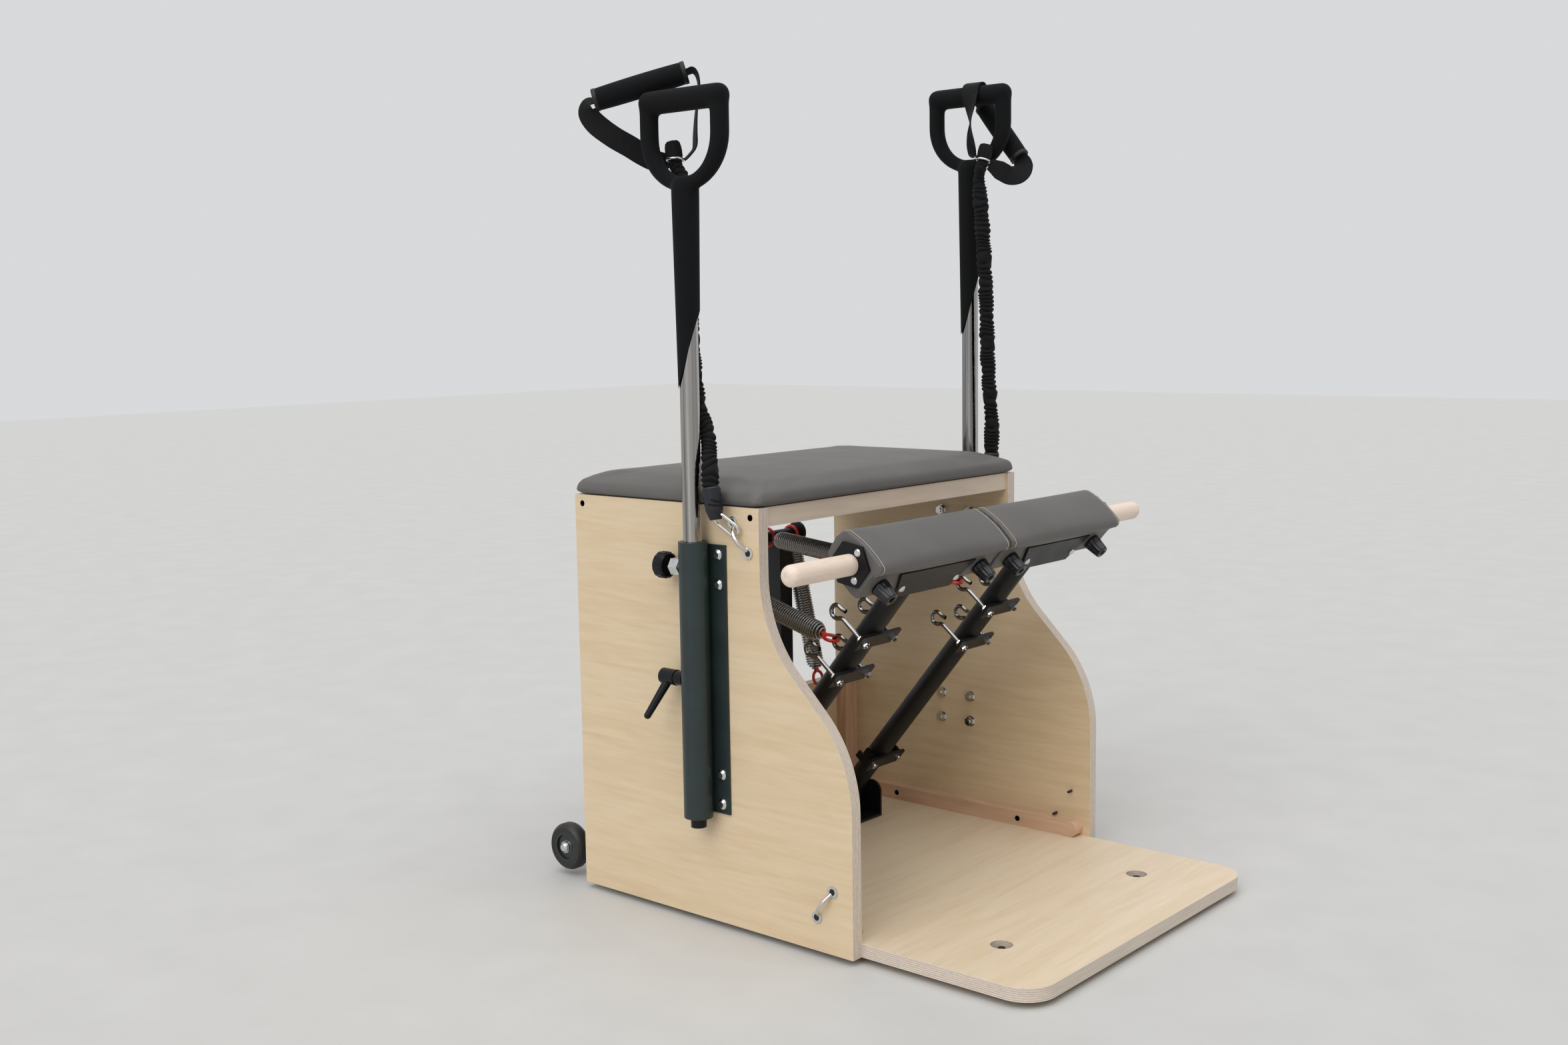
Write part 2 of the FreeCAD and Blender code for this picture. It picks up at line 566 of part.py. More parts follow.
# Necks screwed into the socket wall: a hexagon for the pull pin, a round boss for the lever
necks = []
for name, sign in SIDES:
    for height, flats, radius, length in ((S.pin_z, S.neck_flats, 0, S.neck_length),
                                          (S.lever_z, 0, S.boss_radius, S.boss_length)):
        axis = Vector(sign * S.socket_x, S.socket_y, height)
        back = Vector(0, 1, 0)
        start = S.socket_bore + S.neck_seat
        seat = S.socket_radius + S.neck_seat
        neck = placed(Part.makeCylinder(S.neck_spigot, seat - start), axis + back * start, back)
        if flats:
            head = hex_nut(flats, length, 0, axis + back * seat, back)
        else:
            head = placed(Part.makeCylinder(radius, length), axis + back * seat, back)
        bore = Part.makeCylinder(S.pin_radius + S.pin_fit, 4 * S.socket_radius)
        necks.append(neck.fuse(head).cut(placed(bore, axis, back)))
shaped("socket_necks", Part.makeCompound(necks))

# Pull pins with a fluted knob, and clamp levers
FLUTES = 12
FLUTE_RADIUS = 3
for name, sign in SIDES:
    back = Vector(0, 1, 0)
    axis = Vector(sign * S.socket_x, S.socket_y, S.pin_z)
    tip = S.pole_radius + 2 * S.pole_gap
    knob_at = S.socket_radius + S.neck_length + S.knob_gap
    shaft = Part.makeCylinder(S.pin_radius, knob_at - tip + S.knob_thick / 2, Vector(0, 0, tip))
    knob = Part.makeCylinder(S.knob_radius, S.knob_thick, Vector(0, 0, knob_at))
    edge = S.knob_thick / 6
    knob = knob.makeChamfer(edge, [rim for rim in knob.Edges if rim.Closed])
    for flute in range(FLUTES):
        angle = 2 * math.pi * flute / FLUTES
        spot = Vector(math.cos(angle), math.sin(angle), 0) * (S.knob_radius + FLUTE_RADIUS / 2)
        knob = knob.cut(Part.makeCylinder(FLUTE_RADIUS, S.knob_thick, spot + Vector(0, 0, knob_at)))
    shaped(name + "_pull_pin", placed(knob.fuse(shaft), axis, back))

    axis = Vector(sign * S.socket_x, S.socket_y, S.lever_z)
    hub_at = S.socket_radius + S.boss_length + 2 * S.neck_seat
    stud = placed(Part.makeCylinder(S.pin_radius, hub_at - tip, Vector(0, 0, tip)), axis, back)
    hub = placed(Part.makeCylinder(S.hub_radius, S.hub_length, Vector(0, 0, hub_at)), axis, back)
    handle_way = Vector(sign * 0.42, 0.32, -0.85)
    root = axis + back * (hub_at + S.hub_length / 2)
    handle = Part.makeCone(S.hub_radius * 0.6, S.hub_radius * 0.45, S.lever_reach)
    handle = placed(handle, root, handle_way)
    knob_end = Part.makeSphere(S.hub_radius * 0.45, root + handle_way.normalize() * S.lever_reach)
    shaped(name + "_clamp_lever", stud.fuse([hub, handle, knob_end]))

# Hand poles: a tube with pin holes down its back, an end plug and a foam D grip with a slanted sleeve
for name, sign in SIDES:
    axis_x = signed(sign, "socket_x")
    foot = "pole_foot" + (" + pole_rise" if sign > 0 else "")
    skin = rod("pole_radius", "pole_length", "Z", axis_x, "socket_y", foot)
    tools = [rod("pole_radius - pole_wall", "2 * pole_length", "Z", axis_x, "socket_y",
                 foot + " - pole_length / 2")]
    for count in range(1, 6):
        tools.append(rod("pin_radius + pole_gap", "2 * pole_radius", "Y", axis_x, "socket_y",
                         "%s + %d * pin_hole_pitch" % (foot, count)))
    node(name + "_pole", cut(skin, *tools))
    plug = rod("pole_radius - pole_wall - pin_fit", "plug_length", "Z", axis_x, "socket_y",
               foot + " - plug_drop")
    node(name + "_pole_plug", plug)

    raised = S.pole_rise if sign > 0 else 0
    top = S.pole_foot + S.pole_length + raised
    half = S.grip_width / 2
    low = top + half + S.grip_tube
    high = low + S.grip_leg
    middle = Vector(sign * S.socket_x, S.socket_y, 0)
    spots = [middle + Vector(0, y, z) for y, z in (
        (-half, high), (-half, low), (0, low - half), (half, low), (half, high))]
    legs = [
        Part.LineSegment(spots[0], spots[1]).toShape(), Part.Arc(*spots[1:4]).toShape(),
        Part.LineSegment(spots[3], spots[4]).toShape(),
    ]
    sleeve_foot = top - S.sleeve_length
    spare = 2 * S.sleeve_end
    taper = (S.sleeve_top - S.sleeve_end) / (S.sleeve_length + S.sleeve_head)
    sleeve = Part.makeCone(S.sleeve_end - taper * spare, S.sleeve_top,
                           S.sleeve_length + S.sleeve_head + spare,
                           Vector(middle.x, middle.y, sleeve_foot - spare))
    slant = math.atan2(S.sleeve_slant, 2 * S.sleeve_end)
    shear = Part.makeBox(8 * S.sleeve_top, 12 * S.sleeve_top, 2 * S.sleeve_slant,
                         Vector(-4 * S.sleeve_top, -6 * S.sleeve_top, -2 * S.sleeve_slant))
    shear.Placement = Placement(Vector(middle.x, middle.y, sleeve_foot + S.sleeve_slant / 2),
                                Rotation(Vector(0, 0, 1), S.sleeve_turn)
                                * Rotation(Vector(1, 0, 0), -math.degrees(slant)))
    bore = Part.makeCylinder(S.pole_radius + S.pin_fit, S.sleeve_length + S.pin_fit + 2 * spare,
                             Vector(middle.x, middle.y, sleeve_foot - 2 * spare))
    wide = half + S.grip_leg_tube + S.grip_overhang
    bar = placed(rounded_rod(S.grip_tube, 2 * wide, S.grip_corner), middle + Vector(0, -wide, high),
                 Vector(0, 1, 0))
    foam = tube(legs, S.grip_leg_tube).fuse([bar, sleeve]).cut([shear, bore])
    shaped(name + "_d_grip", foam)

# Pivot brackets: a channel on the base board with two cheeks for each pedal's bolt
channels = []
for name, sign in SIDES:
    cheek = padded_outline("YZ_Plane", [
        ("pivot_y - half_bracket", "board_top"), ("pivot_y + half_bracket", "board_top"),
        ("pivot_y + half_bracket", "cheek_side", "bracket_round", 1),
        ("pivot_y + half_bracket - bracket_round", "cheek_top"),
        ("pivot_y - half_bracket + bracket_round", "cheek_top", "bracket_round", 1),
        ("pivot_y - half_bracket", "cheek_side")], "bracket_width")
    move(cheek, signed(sign, "arm_offset") + " - bracket_width / 2", "", "")
    gap = box("bracket_width - 2 * bracket_wall", "2 * bracket_length", "bracket_height",
              signed(sign, "arm_offset") + " - bracket_width / 2 + bracket_wall",
              "pivot_y - bracket_length", "board_top + bracket_wall")
    hole = rod("pivot_radius + pivot_fit", "2 * bracket_width", "X",
               signed(sign, "arm_offset") + " - bracket_width", "pivot_y", "pivot_z")
    channels.append(cut(cheek, gap, hole))
node("pivot_brackets", group(*channels))


def leaned(item, sign):
    """Put a pedal piece that is built upright about its pivot in its place."""
    item.Placement = Placement(Vector(), Rotation(Vector(1, 0, 0), S.pedal_lean))
    item.setExpression("Placement.Rotation.Angle", linked("pedal_lean"))
    return move(item, signed(sign, "arm_offset"), "pivot_y", "pivot_z")


def pedal_place(sign):
    return Placement(Vector(sign * S.arm_offset, S.pivot_y, S.pivot_z),
                     Rotation(Vector(1, 0, 0), S.pedal_lean))


def pad_section(x, swell):
    """Section of a pedal pad: flat foot and front, a lip over the front plate, crowned top, round back."""
    thick, depth = S.pad_thick, S.pad_depth
    low, high = S.pad_bottom, S.pad_bottom + thick
    lip, rear = S.pad_shift - depth / 2, S.pad_shift + depth / 2 - S.pad_draw * (1 - swell)
    spots = {
        "foot": (-S.pad_face, low), "notch": (-S.pad_face, S.plate_top + S.plate_clear),
        "lip": (lip, low + 0.8 * thick), "lip_round": (lip - 0.004 * depth, low + 0.92 * thick),
        "front": (lip + 0.036 * depth, high - 0.016 * thick),
        "crest": (S.pad_shift, high + 0.016 * thick + S.pad_crown * swell),
        "back": (rear - 0.083 * depth, high - 0.031 * thick),
        "back_round": (rear - 0.012 * depth, low + 0.8 * thick), "side": (rear, low + 0.5 * thick),
        "heel_round": (rear - 0.071 * depth, low + 0.16 * thick), "heel": (rear - 0.286 * depth, low),
    }
    at = {key: Vector(x, *spot) for key, spot in spots.items()}
    return Part.Wire([
        Part.LineSegment(at["foot"], at["notch"]).toShape(),
        Part.LineSegment(at["notch"], at["lip"]).toShape(),
        Part.Arc(at["lip"], at["lip_round"], at["front"]).toShape(),
        Part.Arc(at["front"], at["crest"], at["back"]).toShape(),
        Part.Arc(at["back"], at["back_round"], at["side"]).toShape(),
        Part.Arc(at["side"], at["heel_round"], at["heel"]).toShape(),
        Part.LineSegment(at["heel"], at["foot"]).toShape(),
    ])


PAD_SWELL = ((-1, 0), (-0.9, 0.5), (-0.5, 0.9), (0, 1), (0.5, 0.9), (0.9, 0.5), (1, 0))
FLANGE_SCREWS = 3
NUT_M6 = 10
NUT_M6_HEIGHT = 5
FORWARD, BACKWARD = Vector(0, -1, 0), Vector(0, 1, 0)


def hook(x, at):
    """An open wire hook through a cross plate: a stem, a dip, a half turn and a short tip."""
    def spot(back, up):
        return Vector(x, back, at + up)

    reach, bend = S.hook_reach, S.hook_bend
    tip_run = S.hook_tip / 2
    tip_rise = math.radians(22)
    edges = [Part.LineSegment(spot(S.cross_front - NUT_M6_HEIGHT - 3, 0), spot(S.hook_stem, 0)).toShape()]
    edges += biarc(spot(S.hook_stem, 0), BACKWARD, spot(reach, -bend), BACKWARD)
    edges.append(Part.Arc(spot(reach, -bend), spot(reach + bend, 0), spot(reach, bend)).toShape())
    end = spot(reach - tip_run * (1 + math.cos(tip_rise)), bend + tip_run * math.sin(tip_rise))
    edges.append(arc_between(spot(reach, bend), spot(reach - tip_run, bend), end))
    return tube(edges, S.hook_wire)


# Pedals: welded arm, upholstered pad, dowel flange, bumpers, spring hooks, fork clips and fasteners
for name, sign in SIDES:
    post = rod("arm_radius", "arm_length", "Z", "", "", "")
    sleeve = rod("sleeve_radius", "sleeve_width", "X", "-sleeve_width / 2", "", "")
    shelf = box("plate_foot_width", "pad_face + shelf_back", "shelf_thick", "-plate_foot_width / 2",
                "-pad_face", "arm_length")
    plate = padded_outline("XZ_Plane", [
        ("-half_plate_foot", "plate_foot"), ("half_plate_foot", "plate_foot"),
        ("half_plate_top", "plate_top"), ("-half_plate_top", "plate_top")], "shelf_thick")
    move(plate, "", "-pad_face", "")
    crosses = []
    holes = [rod("pivot_radius + pivot_fit", "2 * bracket_width", "X", "-bracket_width", "", ""),
             rod("arm_radius - arm_wall", "arm_length - 2 * sleeve_radius", "Z", "", "", "2 * sleeve_radius")]
    for place, hole in (("fork_at", "screw_radius"), ("lower_hook_at", "hook_wire"),
                        ("upper_hook_at", "hook_wire")):
        crosses.append(box("cross_length", "cross_thick", "cross_height", "-cross_length / 2", "cross_front",
                           place + " - cross_height / 2"))
        holes += [rod(hole, "3 * cross_thick", "Y", way + "hook_spread", "cross_front - cross_thick", place)
                  for way in ("-", "")]
    holes += [rod("screw_radius", "4 * shelf_thick", "Y", way + "pad_screw_at",
                  "-pad_face - 2 * shelf_thick", "pad_bottom + pad_screw_up") for way in ("-", "")]
    arm = cut(fuse(post, sleeve, shelf, plate, *crosses), *holes)
    node(name + "_pedal_arm", leaned(arm, sign))

    place = pedal_place(sign)
    pad = Part.makeLoft([pad_section(share * S.pad_half, swell) for share, swell in PAD_SWELL], True, False)
    tunnel = Part.makeCylinder(S.dowel_radius + S.dowel_gap, 4 * S.pad_half,
                               Vector(-2 * S.pad_half, S.pad_shift, S.pad_at), Vector(1, 0, 0))
    fasteners = []
    pad_screw = [(0, S.screw_rise), (0.55 * S.screw_head, S.screw_rise), (S.screw_head, S.screw_rise / 3),
                 (S.screw_head, 0), (S.screw_radius, 0), (S.screw_radius, -S.screw_length),
                 (0, -S.screw_length)]
    for way in (-1, 1):
        spot = Vector(way * S.pad_screw_at, -S.pad_face - S.shelf_thick, S.pad_bottom + S.pad_screw_up)
        fasteners.append(turned(pad_screw, spot, FORWARD))
    outward = Vector(sign, 0, 0)
    dowel_spot = Vector(sign * S.pad_half, S.pad_shift, S.pad_at)
    flange_screws = []
    for step in range(FLANGE_SCREWS):
        angle = math.radians(90 + 360 * step / FLANGE_SCREWS)
        offset = Vector(0, math.cos(angle), math.sin(angle)) * (S.flange_width * 0.39)
        flange_screws.append(turned(pan_profile, dowel_spot + offset + outward * S.flange_thick, outward))
    fasteners += flange_screws
    shaped(name + "_pedal_pad", pad.cut([tunnel] + fasteners), place)

    flange = hex_nut(S.flange_width, S.flange_thick, S.dowel_radius + S.dowel_gap, dowel_spot, outward)
    shaped(name + "_dowel_flange", flange.cut(flange_screws), place)

    tip_depth = 0.7 * S.bumper_length
    bumper = [(0, 0), (S.bumper_base - 1, 0), (S.bumper_base, 2), (S.bumper_base, 5),
              (S.bumper_tip, S.bumper_length - 1), (S.bumper_tip - 1, S.bumper_length),
              (S.bumper_hole, S.bumper_length), (S.bumper_hole, S.bumper_length - tip_depth),
              (0, S.bumper_length - tip_depth)]
    bumpers = [turned(bumper, Vector(way * S.bumper_at, -S.pad_face, S.pad_bottom + S.bumper_up), FORWARD)
               for way in (-1, 1)]
    shaped(name + "_bumpers", Part.makeCompound(bumpers), place)

    hooks = []
    forks = []
    for way in (-1, 1):
        x = way * S.hook_spread
        for at in (S.lower_hook_at, S.upper_hook_at):
            hooks.append(hook(x, at))
            for face, way_out in ((S.cross_front, FORWARD), (S.cross_back, BACKWARD)):
                fasteners.append(hex_nut(NUT_M6, NUT_M6_HEIGHT, S.hook_wire, Vector(x, face, at), way_out))
        half = S.fork_gap + S.fork_wall
        base = Part.makeBox(2 * half, S.fork_wall, S.cross_height / 2,
                            Vector(x - half, S.cross_back, S.fork_at - S.cross_height / 4))
        prongs = [Part.makeBox(S.fork_wall, S.fork_reach, S.cross_height / 2,
                               Vector(edge, S.cross_back, S.fork_at - S.cross_height / 4))
                  for edge in (x - half, x + S.fork_gap)]
        bolt = [(0, 4), (5, 4), (5, 0), (S.screw_radius, 0), (S.screw_radius, -S.cross_thick - S.fork_wall),
                (0, -S.cross_thick - S.fork_wall)]
        fork_bolt = turned(bolt, Vector(x, S.cross_front, S.fork_at), FORWARD)
        forks.append(base.fuse(prongs).cut(fork_bolt))
        fasteners.append(fork_bolt)
    shaped(name + "_spring_hooks", Part.makeCompound(hooks), place)
    shaped(name + "_fork_clips", Part.makeCompound(forks), place)
    shaped(name + "_pedal_fasteners", Part.makeCompound(fasteners), place)

# Dowel through both pads
shaped("dowel", rounded_rod(S.dowel_radius, S.dowel_length, 0.75 * S.dowel_radius),
       Placement(Vector(-S.dowel_length / 2, S.dowel_y, S.dowel_z), AXIS_TURN["X"]))

# Spring posts: a square post behind the rear panel with a cross bar on top
posts = []
for name, sign in SIDES:
    middle = signed(sign, "arm_offset")
    upright = box("post_size", "post_size", "post_rise", middle + " - post_size / 2", "rear_face",
                  "board_top")
    bar = rod("bar_radius", "bar_length", "X", middle + " - bar_length / 2", "bar_y", "bar_z")
    discs = [rod("disc_radius", "disc_thick", "X", middle + place, "bar_y", "bar_z")
             for place in (" - bar_length / 2", " + bar_length / 2 - disc_thick")]
    posts.append(fuse(upright, bar, *discs))
node("spring_posts", group(*posts))


def coil_edges(start, stop, turns):
    """A wire that leaves the axis, winds about it and returns to it, in biarcs of a quarter turn.

    The ends are straight for one wire diameter. Also returns points along the wire."""
    along = (stop - start).normalize()
    side = Vector(1, 0, 0)
    up = along.cross(side)
    straight = 2 * S.wire_radius
    length = (stop - start).Length - 2 * straight
    quarters = 4 * int(turns)

    def spot(step):
        near = min(step, quarters - step) / 6
        ease = 1 if near >= 1 else near * near * (3 - 2 * near)
        angle = math.pi / 2 * step
        radial = (side * math.cos(angle) + up * math.sin(angle)) * (S.coil_radius * ease)
        return start + along * (straight + length * step / quarters) + radial

    def heading(step):
        return (spot(min(step + 0.01, quarters)) - spot(max(step - 0.01, 0))).normalize()

    edges = [Part.LineSegment(start, spot(0)).toShape()]
    for step in range(quarters):
        leave = along if step == 0 else heading(step)
        arrive = along if step == quarters - 1 else heading(step + 1)
        edges += biarc(spot(step), leave, spot(step + 1), arrive)
    edges.append(Part.LineSegment(spot(quarters), stop).toShape())
    return edges, [spot(step / 3) for step in range(3 * quarters + 1)]


def spring(label, bar_spot, far_spot):
    """A coil between a loop on the cross bar and a loop on a hook, each loop with a short neck."""
    away = (far_spot - bar_spot).normalize()
    bar_mean = S.bar_loop + S.loop_wire
    hook_mean = S.hook_loop + S.loop_wire
    bar_ring = bar_spot + away * (S.bar_loop - S.bar_radius - S.loop_gap)
    ring_pull = S.hook_bend - S.hook_wire - S.loop_wire - S.loop_gap + hook_mean
    far_ring = far_spot - away * ring_pull
    across = away.cross(Vector(1, 0, 0))
    start = bar_ring + away * (bar_mean + S.loop_neck)
    stop = far_ring - away * (hook_mean + S.loop_neck)
    loops = []
    for centre, mean, normal, way in ((bar_ring, bar_mean, Vector(1, 0, 0), away),
                                      (far_ring, hook_mean, across, -away)):
        neck = placed(Part.makeCylinder(S.neck_radius, S.loop_neck), centre + way * mean, way)
        loops.append(ring(mean, S.loop_wire, centre, normal).fuse(neck))
    edges, points = coil_edges(start, stop, S.coil_turns)
    least = min((points[one] - points[two]).Length
                for one in range(len(points)) for two in range(one + 9, len(points)))
    print("%s: wire to wire gap %.2f mm" % (label, least - 2 * S.wire_radius))
    coil = tube(edges, S.wire_radius)
    shaped(label, Part.makeCompound([coil] + loops))


# Springs: the right one on the upper hook, the left one on the lower hook, and a spare beside each
for name, sign in SIDES:
    hook_at = S.upper_hook_at if sign > 0 else S.lower_hook_at
    inner = -sign * S.hook_spread
    far = pedal_place(sign).multVec(Vector(inner, S.hook_reach, hook_at))
    spring(name + "_spring", Vector(sign * S.arm_offset + inner, S.bar_y, S.bar_z), far)
    spare_bar = Vector(sign * S.arm_offset - inner, S.bar_y, S.bar_z)
    hang = Vector(0, -S.spare_ahead, -S.spare_drop)
    spring(name + "_spare_spring", spare_bar, spare_bar + hang)

# Axle bolts: pedal pivots, and wheel axles with a spacer and a nut
HEAD_M12 = 19
HEAD_M12_HEIGHT = 7.5
axles = []
for name, sign in SIDES:
    out = Vector(sign, 0, 0)
    pivot = Vector(sign * (S.arm_offset + S.bracket_width / 2), S.pivot_y, S.pivot_z)
    shank = placed(Part.makeCylinder(S.pivot_radius, S.bracket_width + HEAD_M12_HEIGHT + 4), pivot, -out)
    axles.append(shank.fuse(hex_nut(HEAD_M12, HEAD_M12_HEIGHT, 0, pivot, out)))
    axles.append(hex_nut(HEAD_M12, HEAD_M12_HEIGHT, S.pivot_radius, pivot - out * S.bracket_width, -out))

    end_play = S.pole_gap
    outer = Vector(sign * (S.wheel_x + S.wheel_width / 2 + end_play), S.wheel_y, S.wheel_z)
    ear_face = S.wheel_width + end_play + S.wheel_gap
    reach = ear_face + S.ear_thick + S.nut_height + 2
    axle = [(0, 4), (5, 4), (7, 1.5), (7, 0), (S.axle_radius, 0), (S.axle_radius, -reach), (0, -reach)]
    axles.append(turned(axle, outer, out))
    nut_spot = outer - out * (ear_face + S.ear_thick)
    axles.append(hex_nut(S.nut_flats, S.nut_height, S.axle_radius, nut_spot, -out))
    spacer = Part.makeCylinder(2 * S.axle_radius, S.wheel_gap - end_play)
    spacer = spacer.cut(Part.makeCylinder(S.axle_radius, S.wheel_gap))
    axles.append(placed(spacer, outer - out * ear_face, out))
shaped("axle_bolts", Part.makeCompound(axles))

# Wheel brackets on the rear panel: a foot plate with a rounded ear for the axle
brackets = []
for name, sign in SIDES:
    foot = box("bracket_foot + ear_thick", "ear_thick", "3 * ear_round",
               side_low(sign, "ear_x - bracket_foot", "(bracket_foot + ear_thick)"), "rear_face",
               "wheel_z - ear_round")
    ear_low = side_low(sign, "ear_x", "ear_thick")
    ear = box("ear_thick", "wheel_y - rear_face", "2 * ear_round", ear_low, "rear_face",
              "wheel_z - ear_round")
    end = rod("ear_round", "ear_thick", "X", ear_low, "wheel_y", "wheel_z")
    hole = rod("axle_radius", "3 * ear_thick", "X", side_low(sign, "ear_x - ear_thick", "3 * ear_thick"),
               "wheel_y", "wheel_z")
    screw_holes = []
    for share in (0.3, 0.7):
        spot = Vector(sign * (S.ear_x - share * S.bracket_foot), S.rear_face + S.ear_thick,
                      S.wheel_z + S.ear_round)
        screws.append(turned(pan_profile, spot, BACKWARD))
        screw_holes.append(rod("wood_shank", "3 * ear_thick", "Y",
                               signed(sign, "(ear_x - %g * bracket_foot)" % share),
                               "rear_face - ear_thick", "wheel_z + ear_round"))
    brackets.append(cut(fuse(foot, ear, end), hole, *screw_holes))
node("wheel_brackets", group(*brackets))

# Transport wheels: a hub inside a tyre
for name, sign in SIDES:
    half, hub_rim, rim = S.wheel_width / 2, S.hub_disc, S.wheel_radius
    bore = S.axle_radius + S.wheel_fit
    tread = [(hub_rim, -half + 1), (rim - 5, -half), (rim - 1.5, -half + 3.5), (rim, -half + 7)]
    tyre = tread + [(radius, -height) for radius, height in reversed(tread)]
    disc = [(bore, -half), (9, -half), (9, -half + 4), (hub_rim - 3, -half + 4), (hub_rim - 3, -half + 1),
            (hub_rim, -half + 1)]
    hub = disc + [(radius, -height) for radius, height in reversed(disc)]
    spot = Vector(sign * S.wheel_x, S.wheel_y, S.wheel_z)
    across = Vector(1, 0, 0)
    shaped(name + "_wheel", Part.makeCompound([turned(tyre, spot, across), turned(hub, spot, across)]))


def clip_frame(sign):
    """Lower end of a snap hook, the direction along it and the direction across it."""
    middle, slant = eye_places(sign)[0]
    lean_up = math.radians(S.clip_lean)
    flat = Vector(0, math.cos(lean_up), math.sin(lean_up))
    aside = Vector(0, -flat.z, flat.y)
    outward = Vector(sign, 0, 0)
    low = middle + slant * S.clip_along + aside * S.clip_aside + outward * S.clip_lift
    rise = math.asin((S.cord_out - S.clip_lift) / S.clip_length)
    return low, flat * math.cos(rise) + outward * math.sin(rise), aside


# Corners of each cord's route below its neck: set-out from the pole's axis, place behind it and height
# above the pole's end
CORD_ROUTES = {
    "left": ((-28, 26, 13), (-31, 25, -72), (-31, 24, -167), (-29, 16, -270), (-29, -8, -319)),
    "right": ((-24.5, -34.5, -15), (-20.5, -39.5, -97), (-15, -42, -207), (-9.5, -41.2, -317)),
}
# How far the lowest corner stands ahead of the snap hook, and at what share of the cord's drop
CORD_AHEAD = {"left": (-11, 0.88), "right": (5, 1)}
# Where each ring hangs, and the heading of the knot above it
RING_SPOTS = {"left": (-25.6, 41.3, 51), "right": (-28, -44, 20.5)}
KNOT_HEADINGS = {"left": Vector(-0.02, 0.2, 0.98), "right": Vector(0.24, -0.1, 0.96)}
# Points of each strap from the hand grip's end to the ring, in the same terms as the cords
STRAP_ROUTES = {
    "left": (
        ((36.5, 142.4, 129.9), (36, 144.8, 118), (29, 135, 102), (15, 118, 85), (-1, 103, 72.2),
         (-15, 90, 60.5), (-26, 78, 53)),
        ((-54.5, 33.2, 169.8), (-58, 28.5, 162), (-57, 25, 145), (-51, 24, 122), (-46.5, 22.5, 103),
         (-43.5, 21, 85.5), (-42, 20.8, 68)),
    ),
    "right": (
        ((33, 1, 121), (28, 0, 136), (15, -4, 145), (0, -8, 144.5), (-14, -12, 138), (-20, -14, 122),
         (-22, -16.6, 103), (-25.5, -19.1, 82.9), (-29, -21.5, 64)),
        ((35, -78, 18.5), (29, -81, 7), (18.5, -79, -1), (5.4, -73, -3), (-6, -67, 2)),
    ),
}
# Direction that each strap's width keeps to, and the side of the ring that it meets
STRAP_WIDTH = {
    "left": (Vector(0.454, -0.377, 0.805), Vector(0.752, 0.648, -0.12)),
    "right": (Vector(0, 1, 0), Vector(0, 0, 1)),
}
RING_MEETS = {
    "left": (Vector(0.25, 0.97, 0), Vector(0.65, -0.76, 0)),
    "right": (Vector(-0.52, 0.69, 0.51), Vector(0.52, -0.69, -0.51)),
}
STRAP_END = 8
# Ends of each hand grip, in the order of its strap's legs
GRIP_ENDS = {
    "left": ((31, 135.8, 132.5), (-49, 39.8, 167.5)),
    "right": ((33, -4.4, 112.4), (34, -72.7, 26)),
}


def spot_of(sign, place):
    """A point given from the end of a hand pole."""
    out, behind, height = place
    top = S.pole_foot + S.pole_length + (S.pole_rise if sign > 0 else 0)
    return Vector(sign * (S.socket_x + out), S.socket_y + behind, top + height)


def strap_leg(points, first, last, width_hint):
    """A webbing band through points, square to its first and last heading."""
    curve = Part.BSplineCurve()
    curve.interpolate(points)
    count = 6 * (len(points) - 1)
    sections = []
    for step in range(count + 1):
        where = curve.FirstParameter + (curve.LastParameter - curve.FirstParameter) * step / count
        along = Vector(*curve.tangent(where)[0])
        along = first if step == 0 else last if step == count else along
        across = width_hint - along * width_hint.dot(along)
        sections.append((curve.value(where), across, along.cross(across)))
    return band(sections, S.strap_width, S.strap_thick)


